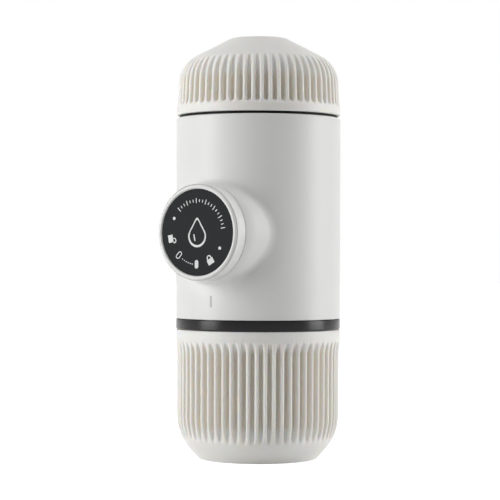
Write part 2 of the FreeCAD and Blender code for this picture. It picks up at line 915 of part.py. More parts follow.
def make_group_head():
    """Group head: disc with the water way, and the ring the filter holder screws into."""
    low = deck_top_z
    top = low + group_disc_t
    ring_in = holder_r + run_gap
    body = lathe([
        (0, low, 0),
        (frame_r, low, 0),
        (frame_r, group_ring_top, edge_round),
        (ring_in, group_ring_top, ring_lead_round),
        (ring_in, top, 0),
        (group_boss_r, top, 0),
        (group_boss_r, top + group_boss_h, edge_round),
        (screen_r + slip_gap, top + group_boss_h, 0),
        (screen_r + slip_gap, top + group_boss_h - screen_t, 0),
        (screen_r - screen_ledge, top + group_boss_h - screen_t, 0),
        (screen_r - water_room_in, top + water_floor_t, 0),
        (0, top + water_floor_t, 0),
    ])
    rise = Part.makeCylinder(seat_r, way_low + past, V(0, valve_y, low - past))
    centre = Part.makeCylinder(seat_r, way_centre_h, V(0, 0, low + way_low))
    across = Part.makeCylinder(way_r, valve_y, V(0, 0, low + way_axis), V(0, 1, 0))
    return body.cut([rise, centre, across])


def hex_places(pitch, reach):
    """Points of a triangular grid inside a circle."""
    places = []
    rows = int(reach / pitch) + 2
    for row in range(-rows, rows + 1):
        for column in range(-rows, rows + 1):
            x = pitch * (column + row / 2.0)
            y = pitch * row * math.sqrt(3) / 2
            if math.hypot(x, y) <= reach:
                places.append((x, y))
    return places


def make_shower_screen():
    """Steel screen that spreads the water over the coffee."""
    top = deck_top_z + group_disc_t + group_boss_h
    plate = ring(0, screen_r, top - screen_t, top)
    holes = []
    for x, y in hex_places(screen_pitch, screen_r - hole_margin):
        if math.hypot(x, y) > screen_hole_r:
            holes.append(Part.makeCylinder(screen_hole_r, screen_t + 2 * past, V(x, y, top - screen_t - past)))
    return plate.cut(holes)


def make_group_gasket():
    """Rubber gasket that the rim of the basket closes against."""
    low = deck_top_z + group_disc_t
    return ring(group_boss_r + slip_gap, basket_flange_r, low, gasket_top_z)


def make_filter_basket():
    """Steel basket, mouth down, with its perforated end on top."""
    in_r = basket_r - basket_wall
    top = basket_top
    shell = lathe([
        (in_r, gasket_top_z, 0),
        (basket_flange_r, gasket_top_z, 0),
        (basket_flange_r, gasket_top_z + basket_wall, 0),
        (basket_r, gasket_top_z + basket_wall, 0),
        (basket_r, top, basket_round),
        (0, top, 0),
        (0, top - basket_wall, 0),
        (in_r, top - basket_wall, basket_in_round),
    ])
    holes = []
    for x, y in hex_places(basket_pitch, in_r - hole_margin):
        low = V(x, y, top - basket_wall - past)
        holes.append(Part.makeCylinder(basket_hole_r, basket_wall + 2 * past, low))
    return shell.cut(holes)


def make_portafilter():
    """Filter holder: threaded skirt, black flange in the gap and sloping roof."""
    bore = basket_r + run_gap
    skirt_low = gasket_top_z + basket_wall + run_gap
    shoulder_top = cup_z + shoulder_h
    body = lathe([
        (bore, skirt_low, 0),
        (holder_r, skirt_low, edge_round),
        (holder_r, shell_top, 0),
        (flange_r, shell_top, 0),
        (flange_r, cup_z, fine_round),
        (shoulder_r, cup_z, 0),
        (shoulder_r, shoulder_top, shoulder_round),
        (spout_r + nose_foot_w, holder_roof + nose_foot_h, nose_foot_round),
        (spout_r + nose_wall, holder_roof + nose_h, nose_round),
        (spout_r + slip_gap, holder_roof + nose_h, 0),
        (spout_r + slip_gap, spout_seat_z, 0),
        (seat_r, spout_seat_z, 0),
        (seat_r, chamber_top, 0),
        (basket_r - chamber_in, chamber_top - chamber_slope_h, 0),
        (basket_r - chamber_in, basket_top, 0),
        (bore, basket_top, 0),
    ])
    grip_low = V(0, -shoulder_r - grip_r / 2, cup_z + cup_ring_h)
    grip = Part.makeCylinder(grip_r, shoulder_h + 2 * past, grip_low)
    return body.cut(around(grip, grip_count))


def make_spout_valve():
    """Silicone valve under the spout that builds the crema."""
    return ring(spout_bore_r, spout_r, spout_seat_z, spout_seat_z + crema_valve_t)


def make_spout():
    """Steel spout in the middle of the filter holder."""
    low = spout_seat_z + crema_valve_t
    return lathe([
        (spout_bore_r, low, 0),
        (spout_r, low, 0),
        (spout_r, holder_roof + spout_root_h, spout_bend_round),
        (spout_tip_r, spout_top_z - spout_tip_h, spout_bend_round),
        (spout_tip_r - spout_tip_in, spout_top_z, small_round),
        (spout_bore_r, spout_top_z, fine_round),
    ])


def make_cup():
    """Cup that caps the brew group, ribbed round its side, with a coned crown."""
    cone = math.tan(math.radians(cup_cone_deg))
    rim_top = cup_z + cup_rim_h
    side_z = cup_z + cup_side_h
    draft = (rib_crest_r - cup_side_r) / (side_z - rim_top)
    corner_r = (total_h + cup_top_r * cone - side_z - cup_side_r / draft) / (cone - 1 / draft)
    corner_z = total_h - (corner_r - cup_top_r) * cone
    outside = lathe([
        (0, cup_z, 0),
        (body_r - cup_rim_inset, cup_z, seam_round),
        (body_r - cup_rim_inset, rim_top - cup_rim_slope / 2, 0),
        (rib_crest_r, rim_top + cup_rim_slope / 2, 0),
        (corner_r, corner_z, cup_dome_round),
        (cup_top_r, total_h, cup_top_round),
        (0, total_h, 0),
    ])
    low = cup_z + cup_groove_bottom
    cutter = groove_cutter([
        (rib_floor_r, low + cup_groove_runout, 0),
        (rib_floor_r, cup_z + cup_groove_lean, 0),
        (groove_tip_r - past, cup_z + cup_groove_top + cup_tip_rise, 0),
        (groove_tip_r + past, cup_z + cup_groove_top + cup_over_rise, 0),
        (body_r + past, cup_z + cup_groove_top, 0),
        (body_r + past, low - cup_runout_drop, 0),
    ])
    ribbed = cut_grooves(outside, cutter, 0.0)
    inner_corner_z = total_h - cup_roof_wall / math.cos(math.radians(cup_cone_deg))
    inner_corner_z = inner_corner_z - (cup_inner_r - cup_top_r) * cone
    inside = lathe([
        (0, cup_z - past, 0),
        (cup_inner_r, cup_z - past, 0),
        (cup_inner_r, inner_corner_z, cup_dome_round - cup_roof_wall),
        (cup_top_r, total_h - cup_roof_wall, cup_top_round),
        (0, total_h - cup_roof_wall, 0),
    ])
    return ribbed.cut(inside)


def make_cup_ring():
    """Rubber ring on the filter holder's shoulder that grips the cup."""
    outer = cup_inner_r - slip_gap
    return ring(shoulder_r + seat_gap, outer, cup_z + seat_gap, cup_z + cup_ring_h)


os.makedirs("parts", exist_ok=True)

save("tank_sleeve", make_tank_sleeve())
save("tank_liner", make_tank_liner())
save("neck_ring", make_neck_ring())
save("band_collar", make_collar())
save("tank_seal", make_tank_seal())
save("bulkhead", make_bulkhead())
save("vent_valve", make_vent_valve())
save("inlet_strainer", make_inlet_strainer())
save("bulkhead_screws", make_bulkhead_screws())
save("body_shell", make_body_shell())
save("inner_frame", make_inner_frame())
save("guide_sleeve", make_guide_sleeve())
save("pump_barrel", make_pump_barrel())
save("piston_rod", make_piston_rod())
save("piston_head", make_piston_head())
save("piston_ring", make_piston_ring())
save("return_spring", make_return_spring())
save("knob", make_knob())
save("knob_label", make_knob_label())
save("valve_block", make_valve_block())
save("inlet_ball", make_ball(inlet_seat_z))
save("outlet_ball", make_ball(outlet_seat_z))
save("inlet_tube", make_tube(frame_z, valve_low_z))
save("outlet_tube", make_tube(valve_high_z, deck_top_z))
save("group_head", make_group_head())
save("shower_screen", make_shower_screen())
save("group_gasket", make_group_gasket())
save("filter_basket", make_filter_basket())
save("portafilter", make_portafilter())
save("spout_valve", make_spout_valve())
save("spout", make_spout())
save("cup_ring", make_cup_ring())
save("cup", make_cup())
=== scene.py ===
"""Dresses the hand-pumped espresso maker: ribbed cup and tank, casing, printed marks, finishes and stage."""

import math

import bmesh
import bpy
from mathutils import Matrix, Vector


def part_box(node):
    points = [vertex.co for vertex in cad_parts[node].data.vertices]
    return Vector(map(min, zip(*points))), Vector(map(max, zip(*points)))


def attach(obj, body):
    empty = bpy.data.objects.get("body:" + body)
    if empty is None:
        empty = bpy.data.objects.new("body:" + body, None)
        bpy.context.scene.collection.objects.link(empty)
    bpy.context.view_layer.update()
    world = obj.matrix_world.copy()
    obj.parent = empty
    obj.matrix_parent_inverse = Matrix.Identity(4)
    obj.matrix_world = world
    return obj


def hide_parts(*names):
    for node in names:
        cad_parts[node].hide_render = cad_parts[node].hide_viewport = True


bl_info = {
    "name": "Espresso maker dressing",
    "version": (1, 0, 0),
    "blender": (4, 5, 0),
    "location": "View3D > Sidebar > Espresso maker",
    "description": "Ribbed mouldings, casing, printed marks and finishes on the packed espresso maker",
    "category": "Object",
}

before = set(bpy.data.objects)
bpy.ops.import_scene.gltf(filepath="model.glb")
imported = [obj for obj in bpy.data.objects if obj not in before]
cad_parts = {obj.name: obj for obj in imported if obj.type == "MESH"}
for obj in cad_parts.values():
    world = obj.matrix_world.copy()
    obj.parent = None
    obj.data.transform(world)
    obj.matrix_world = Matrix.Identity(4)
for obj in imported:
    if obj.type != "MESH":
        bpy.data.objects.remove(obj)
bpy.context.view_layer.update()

MM = 0.001

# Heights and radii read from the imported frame
cup_low, cup_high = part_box("cup")
tank_low, tank_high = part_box("tank_sleeve")
shell_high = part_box("body_shell")[1]
label_low, label_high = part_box("knob_label")
body_r = shell_high.x
knob_z = (label_low.z + label_high.z) / 2
label_face_y = label_low.y


class MakerSizes(bpy.types.PropertyGroup):
    """Sizes of the ribbed mouldings and the printed marks."""

    rib_count: bpy.props.IntProperty(name="Ribs", description="Ribs round cup and tank", default=60, min=12)
    crest_r: bpy.props.FloatProperty(
        name="Rib crest radius", description="Radius of the rib crests", default=0.0301, unit="LENGTH"
    )
    floor_r: bpy.props.FloatProperty(
        name="Groove floor radius", description="Radius of the groove floors", default=0.0280, unit="LENGTH"
    )
    mark_ring_r: bpy.props.FloatProperty(
        name="Mark ring radius", description="Circle that the knob's marks sit on", default=0.01133,
        unit="LENGTH"
    )
    print_lift: bpy.props.FloatProperty(
        name="Print thickness", description="How far a printed mark stands up", default=0.00004, unit="LENGTH"
    )
    index_height: bpy.props.FloatProperty(
        name="Index height", description="Height of the index line above the base", default=0.0587,
        unit="LENGTH"
    )


class MakerColours(bpy.types.PropertyGroup):
    """Colours of the finishes."""

    shell: bpy.props.FloatVectorProperty(
        name="Shell", description="White casing", subtype="COLOR", size=3, default=(0.80, 0.80, 0.79)
    )
    # Painted light: the same white plastic as the casing, set lighter to stand in for light the rib crests
    # catch
    ribbed: bpy.props.FloatVectorProperty(
        name="Ribbed mouldings", description="White of cup and tank", subtype="COLOR", size=3,
        default=(0.86, 0.85, 0.82)
    )
    # Painted shade: a warmer, darker white painted down in the rib grooves
    groove: bpy.props.FloatVectorProperty(
        name="Painted groove shade", description="Warm shade painted down in the grooves", subtype="COLOR", size=3,
        default=(0.80, 0.75, 0.66)
    )
    label: bpy.props.FloatVectorProperty(
        name="Label", description="Charcoal knob disc", subtype="COLOR", size=3,
        default=(0.019, 0.021, 0.022)
    )
    mark: bpy.props.FloatVectorProperty(
        name="Marks", description="White print on the label", subtype="COLOR", size=3,
        default=(0.72, 0.72, 0.72)
    )
    band: bpy.props.FloatVectorProperty(
        name="Band", description="Black band and filter holder", subtype="COLOR", size=3,
        default=(0.004, 0.004, 0.004)
    )
    index: bpy.props.FloatVectorProperty(
        name="Index line", description="Grey print under the knob", subtype="COLOR", size=3,
        default=(0.50, 0.50, 0.49)
    )


class StageSettings(bpy.types.PropertyGroup):
    """Camera and lamps."""

    camera_turn: bpy.props.FloatProperty(
        name="Camera turn", description="Camera's angle from the front", default=math.radians(33.8),
        subtype="ANGLE"
    )
    camera_range: bpy.props.FloatProperty(
        name="Camera distance", description="From the body's axis", default=0.705, unit="LENGTH"
    )
    camera_height: bpy.props.FloatProperty(
        name="Camera height", description="Above the base", default=0.07613, unit="LENGTH"
    )
    lens: bpy.props.FloatProperty(name="Lens", description="Focal length in millimetres", default=136.2)
    left_lamp: bpy.props.FloatProperty(name="Left lamp", description="Power in watts", default=2.3)
    right_lamp: bpy.props.FloatProperty(name="Right lamp", description="Power in watts", default=2.1)
    top_lamp: bpy.props.FloatProperty(name="Top lamp", description="Power in watts", default=1.5)
    sky: bpy.props.FloatProperty(name="Sky", description="Strength of the even light", default=0.10)


def sizes():
    """Sizes as they are set in the scene."""
    return bpy.context.scene.maker_sizes


def colours():
    """Colours as they are set in the scene."""
    return bpy.context.scene.maker_colours


# Outlines and shading

JOIN_REACH = 0.001 * MM
LEVEL_STEP = 1e-6 * MM
SMOOTH_RIBBED = math.radians(50)
SMOOTH_PLAIN = math.radians(30)


def rounded(corners, steps=6):
    """Outline points from (radius, height, corner radius) corners, with arcs at the corners."""
    points = []
    for i, (x, z, radius) in enumerate(corners):
        here = Vector((x, z))
        if radius <= 0 or i == 0 or i == len(corners) - 1:
            points.append(here)
            continue
        back = (Vector(corners[i - 1][:2]) - here).normalized()
        on = (Vector(corners[i + 1][:2]) - here).normalized()
        half = back.angle(on) / 2
        middle = (back + on).normalized()
        centre = here + middle * (radius / math.sin(half))
        reach = radius / math.tan(half)
        start = here + back * reach - centre
        sweep = start.angle_signed(here + on * reach - centre)
        for k in range(steps + 1):
            turn = -sweep * k / steps
            c, s = math.cos(turn), math.sin(turn)
            points.append(centre + Vector((start.x * c - start.y * s, start.x * s + start.y * c)))
    return points


def divided(points, longest):
    """The same outline with no step longer than a given length."""
    out = [points[0]]
    for a, b in zip(points, points[1:]):
        count = max(1, math.ceil((b - a).length / longest))
        for k in range(1, count + 1):
            out.append(a.lerp(b, k / count))
    return out


# Modelling helpers


def clear_selection():
    """Leaves nothing selected."""
    if bpy.context.object and bpy.context.object.mode != "OBJECT":
        bpy.ops.object.mode_set(mode="OBJECT")
    bpy.ops.object.select_all(action="DESELECT")


def name_active(name):
    """Names the active object and its mesh."""
    piece = bpy.context.object
    piece.name = name
    piece.data.name = name
    return piece


def apply_place(piece):
    """Puts a piece's place, turn and size into its mesh."""
    clear_selection()
    piece.select_set(True)
    bpy.context.view_layer.objects.active = piece
    bpy.ops.object.transform_apply(location=True, rotation=True, scale=True)


def spun(name, outline, steps):
    """Turns an outline of (radius, height) points about Z, drawn point by point from one vertex."""
    clear_selection()
    first = outline[0]
    bpy.ops.mesh.primitive_plane_add(size=MM, location=(first.x, 0, first.y))
    piece = name_active(name)
    apply_place(piece)
    bpy.ops.object.mode_set(mode="EDIT")
    bpy.ops.mesh.select_all(action="SELECT")
    bpy.ops.mesh.merge(type="CENTER")
    for a, b in zip(outline, outline[1:]):
        step = (b.x - a.x, 0, b.y - a.y)
        bpy.ops.mesh.extrude_region_move(TRANSFORM_OT_translate={"value": step})
    bpy.ops.object.mode_set(mode="OBJECT")
    turn = piece.modifiers.new("turn", "SCREW")
    turn.axis = "Z"
    turn.angle = math.tau
    turn.steps = steps
    turn.use_merge_vertices = True
    bpy.ops.object.modifier_apply(modifier=turn.name)
    bpy.ops.object.mode_set(mode="EDIT")
    bpy.ops.mesh.select_all(action="SELECT")
    bpy.ops.mesh.remove_doubles(threshold=JOIN_REACH)
    bpy.ops.mesh.normals_make_consistent(inside=False)
    bpy.ops.object.mode_set(mode="OBJECT")
    return piece


def smooth(piece, angle):
    """Smooth shading up to an angle."""
    clear_selection()
    piece.select_set(True)
    bpy.context.view_layer.objects.active = piece
    bpy.ops.object.shade_smooth_by_angle(angle=angle)


def finish_piece(piece, material, body, slot, *nodes):
    """Gives a piece its material and ties it to its body."""
    piece.data.materials.clear()
    piece.data.materials.append(material)
    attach(piece, body)
    if nodes:
        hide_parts(*nodes)


# Ribs

# Across half a rib and half a groove: place in the half pitch, and share of the groove's depth
RIB_SECTION = (
    (0.0, 0.0),
    (0.14, 0.016),
    (0.27, 0.062),
    (0.37, 0.135),
    (0.445, 0.24),
    (0.50, 0.40),
    (0.55, 0.63),
    (0.62, 0.84),
    (0.74, 0.96),
    (1.0, 1.0),
)
STEPS_PER_RIB = 2 * (len(RIB_SECTION) - 1)
GROOVE_SHARE = 0.62
GROOVE_END_ROUND = 0.9 * MM
SKIN_MARGIN = 0.3 * MM


def cut_ribs(piece, phase, depth_at, outer_r):
    """Draws the grooves of a spun moulding inwards, each column to its place across the rib."""
    ribs = sizes().rib_count
    pitch = math.tau / ribs
    mesh = bmesh.new()
    mesh.from_mesh(piece.data)
    for vertex in mesh.verts:
        radius = math.hypot(vertex.co.x, vertex.co.y)
        if radius < outer_r(vertex.co.z) - SKIN_MARGIN:
            continue
        angle = math.atan2(vertex.co.y, vertex.co.x) - phase
        rib = round(angle / pitch)
        column = round((angle / pitch - rib) * STEPS_PER_RIB)
        place, share = RIB_SECTION[min(abs(column), len(RIB_SECTION) - 1)]
        off_centre = min(1.0, (1 - place) / GROOVE_SHARE)
        depth = depth_at(vertex.co.z, 1 - math.sqrt(1 - off_centre ** 2))
        if depth <= 0:
            continue
        turned = phase + pitch * (rib + math.copysign(place, column) / 2)
        radius -= depth * share
        vertex.co.x = radius * math.cos(turned)
        vertex.co.y = radius * math.sin(turned)
    mesh.normal_update()
    mesh.to_mesh(piece.data)
    mesh.free()


def outline_radius(points):
    """Function that reads the outer radius of an outline at a height."""
    rows = sorted((p.y, p.x) for p in points)

    def radius_at(z):
        for (z0, r0), (z1, r1) in zip(rows, rows[1:]):
            if z0 <= z <= z1:
                if z1 - z0 < LEVEL_STEP:
                    return max(r0, r1)
                return r0 + (r1 - r0) * (z - z0) / (z1 - z0)
        return 0.0

    return radius_at


# Tank outline, the same form as the part's, in metres
TANK_BASE_R = 21.9 * MM
TANK_CHAMFER = math.radians(47.5)
TANK_SHOULDER = 19.0 * MM
TANK_RIM = 4.2 * MM
TANK_BASE_ROUND = 1.0 * MM
TANK_RIM_BLEND = 12.0 * MM
TANK_RIM_ROUND = 3.0 * MM
TANK_EDGE_ROUND = 0.4 * MM
TANK_WALL = 0.7 * MM
TANK_FLOOR = 3.5 * MM
TANK_FLOOR_ROUND = 1.5 * MM
TANK_INNER_ROUND = 8.0 * MM
TANK_GROOVE_LOW = 2.0 * MM
TANK_GROOVE_FULL = 39.5 * MM
TANK_GROOVE_TOP = 44.6 * MM
TANK_STEP = 1.3 * MM
TANK_SIDE_SHARE = 0.98

# Cup outline
CUP_RIM = 3.4 * MM
CUP_RIM_INSET = 0.05 * MM
CUP_RIM_SLOPE = 0.6 * MM
CUP_RIM_BLEND = 1.0 * MM
CUP_RIM_ROUND = 0.55 * MM
CUP_SIDE_R = 29.66 * MM
CUP_SIDE_H = 12.75 * MM
CUP_DOME = 11.3 * MM
CUP_CONE = math.radians(27.5)
CUP_TOP_R = 10.4 * MM
CUP_TOP_ROUND = 4.0 * MM
CUP_INNER_R = 27.0 * MM
CUP_ROOF = 2.3 * MM
CUP_GROOVE_LOW = 3.3 * MM
CUP_GROOVE_RUNOUT = 1.1 * MM
CUP_GROOVE_LEAN = 14.3 * MM
CUP_GROOVE_TIP = 21.9 * MM
CUP_TIP_R = 24.3 * MM
CUP_TIP_CURVE = 0.75
CUP_CROWN = 4.0 * MM
CUP_STEP = 0.7 * MM


def ease(t):
    """Smooth step from 0 to 1."""
    t = max(0.0, min(1.0, t))
    return t * t * (3 - 2 * t)


def make_tank():
    """Ribbed tank moulding, closed, with its flat base and inner wall."""
    s = sizes()
    low, high = tank_low.z, tank_high.z
    slope = math.tan(TANK_CHAMFER)
    corner_z = low + (s.crest_r - TANK_BASE_R) * slope
    in_r = s.floor_r - TANK_WALL
    outer = rounded([
        (0, low, 0),
        (TANK_BASE_R, low, TANK_BASE_ROUND),
        (s.crest_r, corner_z, TANK_SHOULDER),
        (s.crest_r, high - 2 * TANK_RIM, TANK_RIM_BLEND),
        (body_r, high - TANK_RIM, TANK_RIM_ROUND),
        (body_r, high, TANK_EDGE_ROUND),
        (in_r, high, 0),
    ], steps=8)
    outer = divided(outer, TANK_STEP)
    in_base_r = TANK_BASE_R - 3 * TANK_WALL
    floor_z = low + TANK_FLOOR
    inner = rounded([
        (in_r, high, 0),
        (in_r, floor_z + (in_r - in_base_r) * slope, TANK_INNER_ROUND),
        (in_base_r, floor_z, TANK_FLOOR_ROUND),
        (0, floor_z, 0),
    ], steps=5)
    skin = spun("tank_ribbed", outer + inner[1:], s.rib_count * STEPS_PER_RIB)
    outer_at = outline_radius([p for p in outer if p.x > TANK_BASE_R * TANK_SIDE_SHARE])

    def depth_at(z, drawn_in):
        top = TANK_GROOVE_TOP - 2 * GROOVE_END_ROUND * drawn_in
        if z < low + TANK_GROOVE_LOW or z > top:
            return 0.0
        fade = 1 - ease((z - TANK_GROOVE_FULL) / (top - TANK_GROOVE_FULL))
        return max(0.0, outer_at(z) - s.floor_r) * fade

    half_pitch = math.pi / s.rib_count
    cut_ribs(skin, -math.pi / 2 + half_pitch, depth_at, outer_at)
    smooth(skin, SMOOTH_RIBBED)
    return skin


def make_cup():
    """Ribbed cup with its coned crown, closed, with its inner wall."""
    s = sizes()
    low, high = cup_low.z, cup_high.z
    cone = math.tan(CUP_CONE)
    rim_top = low + CUP_RIM
    side_z = low + CUP_SIDE_H
    draft = (s.crest_r - CUP_SIDE_R) / (side_z - rim_top)
    corner_r = (high + CUP_TOP_R * cone - side_z - CUP_SIDE_R / draft) / (cone - 1 / draft)
    corner_z = high - (corner_r - CUP_TOP_R) * cone
    rim_r = body_r - CUP_RIM_INSET
    outer = rounded([
        (0, high, 0),
        (CUP_TOP_R, high, CUP_TOP_ROUND),
        (corner_r, corner_z, CUP_DOME),
        (s.crest_r, rim_top + CUP_RIM_SLOPE, CUP_RIM_BLEND),
        (rim_r, rim_top - CUP_RIM_SLOPE, CUP_RIM_BLEND),
        (rim_r, low, CUP_RIM_ROUND),
        (CUP_INNER_R, low, 0),
    ], steps=8)
    outer = divided(outer, CUP_STEP)
    roof_z = high - CUP_ROOF / math.cos(CUP_CONE) - (CUP_INNER_R - CUP_TOP_R) * cone
    inner = rounded([
        (CUP_INNER_R, low, 0),
        (CUP_INNER_R, roof_z, CUP_DOME - CUP_ROOF),
        (CUP_TOP_R, high - CUP_ROOF, CUP_TOP_ROUND),
        (0, high - CUP_ROOF, 0),
    ], steps=6)
    skin = spun("cup_ribbed", outer + inner[1:], s.rib_count * STEPS_PER_RIB)
    outer_at = outline_radius([p for p in outer if p.x > CUP_INNER_R or p.y > corner_z - CUP_DOME])
    foot = low + CUP_GROOVE_LOW
    lean_z = low + CUP_GROOVE_LEAN
    tip_z = low + CUP_GROOVE_TIP

    def floor_at(z):
        if z <= lean_z:
            return s.floor_r
        t = (z - lean_z) / (tip_z - lean_z)
        return s.floor_r + (CUP_TIP_R - s.floor_r) * ((1 - CUP_TIP_CURVE) * t + CUP_TIP_CURVE * t * t)

    def depth_at(z, drawn_in):
        start = foot + GROOVE_END_ROUND * drawn_in
        if z < start or z > high - CUP_CROWN:
            return 0.0
        rise = ease((z - start) / CUP_GROOVE_RUNOUT)
        return max(0.0, outer_at(z) - floor_at(z)) * rise

    cut_ribs(skin, -math.pi / 2, depth_at, outer_at)
    smooth(skin, SMOOTH_RIBBED)
    return skin


# Casing and band

CASING_LOW = 52.12 * MM
CASING_WALL = 2.2 * MM
CASING_TOP_ROUND = 0.55 * MM
CASING_LOW_ROUND = 0.15 * MM
CASING_EDGE = 1.2 * MM
CASING_COLUMNS = 256
CASING_ROWS = 64
BOSS_FRONT = 33.72 * MM
BOSS_FRONT_R = 17.5 * MM
BOSS_BORE_R = 16.0 * MM
BOSS_BORE_REAR = 26.5 * MM
BOSS_LIP = 0.22 * MM
BOSS_DRAFT = math.radians(16.5)
BOSS_BLEND = 1.9 * MM
BOSS_BLEND_SIDE = 0.8
BOSS_LIP_SOFT = 0.3
BOSS_ROUNDS = 20
BLEND_STEPS = 12
SIDE_STEPS = 14
SIDE_CROWDING = 1.3
SLOPE_STEP = 0.01 * MM
CASING_TOP_INNER_ROUND = 0.2 * MM
CASING_LOW_INNER_ROUND = 0.1 * MM
CASING_STEP = 1.5 * MM
OPENING_MARGIN = 0.2 * MM


def casing_border(low, high):
    """Points (angle from the front, height) round the front half of the casing's side."""
    half = CASING_COLUMNS // 2
    quarter = math.pi / 2
    border = []
    for k in range(CASING_ROWS):
        border.append((quarter, low + (high - low) * k / CASING_ROWS))
    for k in range(half):
        border.append((quarter - math.pi * k / half, high))
    for k in range(CASING_ROWS):
        border.append((-quarter, high - (high - low) * k / CASING_ROWS))
    for k in range(half):
        border.append((-quarter + math.pi * k / half, low))
    return border


def flank_radius(depth):
    """Radius of the boss's cone at a depth behind its front."""
    return BOSS_FRONT_R + depth * math.tan(BOSS_DRAFT)


def side_depth(radius, lean):
    """Depth of the casing's side behind the boss's front, under a point of the boss."""
    return BOSS_FRONT - math.sqrt(body_r ** 2 - (radius * lean) ** 2)


def boss_spoke(lean):
    """Outline (radius, depth) from the bore over the lip and the cone into the casing's side."""
    depth = BOSS_FRONT - body_r
    for _ in range(BOSS_ROUNDS):
        depth = side_depth(flank_radius(depth), lean)
    corner = Vector((flank_radius(depth), depth))
    up = Vector((flank_radius(0) - corner.x, -corner.y)).normalized()
    start = corner + up * BOSS_BLEND
    end_r = corner.x + BOSS_BLEND * BOSS_BLEND_SIDE
    end = Vector((end_r, side_depth(end_r, lean)))
    rise = side_depth(end_r + SLOPE_STEP, lean) - side_depth(end_r - SLOPE_STEP, lean)
    run = Vector((1, rise / (2 * SLOPE_STEP)))
    reach = (start - end).cross(up) / run.cross(up)
    pole = end + run * reach
    points = [
        Vector((BOSS_BORE_R, BOSS_FRONT - BOSS_BORE_REAR)),
        Vector((BOSS_BORE_R, BOSS_LIP)),
        Vector((BOSS_BORE_R + BOSS_LIP, 0)),
        Vector((BOSS_FRONT_R - BOSS_LIP, 0)),
        Vector((BOSS_FRONT_R - BOSS_LIP_SOFT * BOSS_LIP, BOSS_LIP_SOFT * BOSS_LIP)),
        Vector((flank_radius(BOSS_LIP), BOSS_LIP)),
    ]
    points.append(points[-1].lerp(start, 0.5))
    for k in range(BLEND_STEPS + 1):
        t = k / BLEND_STEPS
        points.append(start * (1 - t) ** 2 + pole * (2 * t * (1 - t)) + end * t ** 2)
    return points


def make_casing_front(low, high):
    """Front half of the casing's side, drawn as rings from the knob's bore out to its border."""
    border = casing_border(low, high)
    spokes = []
    for turn, height in border:
        across = body_r * turn
        up = height - knob_z
        lean = across / math.hypot(across, up)
        rise = up / math.hypot(across, up)
        spoke = []
        for radius, depth in boss_spoke(lean):
            spoke.append((radius * lean, depth - BOSS_FRONT, knob_z + radius * rise))
        end_x, _, end_z = spoke[-1]
        end_turn = math.asin(end_x / body_r)
        for k in range(1, SIDE_STEPS + 1):
            t = (k / SIDE_STEPS) ** SIDE_CROWDING
            angle = end_turn + (turn - end_turn) * t
            spoke.append((body_r * math.sin(angle), -body_r * math.cos(angle), end_z + (height - end_z) * t))
        spokes.append(spoke)
    count = len(border)
    clear_selection()
    bpy.ops.mesh.primitive_circle_add(vertices=count, radius=1.0, fill_type="NOTHING")
    piece = name_active("casing_front")
    bpy.ops.object.mode_set(mode="EDIT")
    bpy.ops.mesh.select_all(action="SELECT")
    for _ in range(len(spokes[0]) - 1):
        bpy.ops.mesh.extrude_region_move(TRANSFORM_OT_translate={"value": (0, 0, 1.0)})
    bpy.ops.object.mode_set(mode="OBJECT")
    for vertex in piece.data.vertices:
        turn = math.atan2(vertex.co.y, vertex.co.x)
        vertex.co = spokes[round(turn / math.tau * count) % count][round(vertex.co.z)]
    return piece


def make_casing_back(low, high):
    """Back half of the casing's side."""
    clear_selection()
    bpy.ops.mesh.primitive_grid_add(x_subdivisions=CASING_COLUMNS // 2, y_subdivisions=CASING_ROWS, size=2.0)
    piece = name_active("casing_back")
    for vertex in piece.data.vertices:
        angle = vertex.co.x * math.pi / 2
        height = low + (high - low) * (vertex.co.y + 1) / 2
        vertex.co = (body_r * math.sin(angle), body_r * math.cos(angle), height)
    return piece


def make_casing():
    """Casing with the knob's boss flowing into its side."""
    top = shell_high.z
    low, high = CASING_LOW + CASING_EDGE, top - CASING_EDGE
    in_r = body_r - CASING_WALL
    rim = rounded([
        (body_r, high, 0),
        (body_r, top, CASING_TOP_ROUND),
        (in_r, top, CASING_TOP_INNER_ROUND),
        (in_r, CASING_LOW, CASING_LOW_INNER_ROUND),
        (body_r, CASING_LOW, CASING_LOW_ROUND),
        (body_r, low, 0),
    ], steps=6)
    inner = spun("casing_rims", divided(rim, CASING_STEP), CASING_COLUMNS)
    mesh = bmesh.new()
    mesh.from_mesh(inner.data)
    opening = [
        v for v in mesh.verts
        if v.co.y < 0 and math.hypot(v.co.x, v.co.z - knob_z) < BOSS_BORE_R + OPENING_MARGIN
    ]
    bmesh.ops.delete(mesh, geom=opening, context="VERTS")
    mesh.to_mesh(inner.data)
    mesh.free()
    piece = joined("casing", [make_casing_front(low, high), make_casing_back(low, high), inner])
    bpy.ops.object.mode_set(mode="EDIT")
    bpy.ops.mesh.select_all(action="SELECT")
    bpy.ops.mesh.remove_doubles(threshold=2 * JOIN_REACH)
    bpy.ops.mesh.normals_make_consistent(inside=False)
    bpy.ops.object.mode_set(mode="OBJECT")
    smooth(piece, SMOOTH_PLAIN)
    return piece


BAND_TOP = 51.78 * MM
BAND_CHAMFER = 0.45 * MM
BAND_CHAMFER_IN = 0.3 * MM
BAND_LOW_ROUND = 0.2 * MM
BAND_TOP_ROUND = 0.15 * MM
BAND_FIT = 0.05 * MM
BAND_FACET = 2.0 * MM
BAND_BORE_R = 26.9 * MM
BAND_STEP = 1.1 * MM


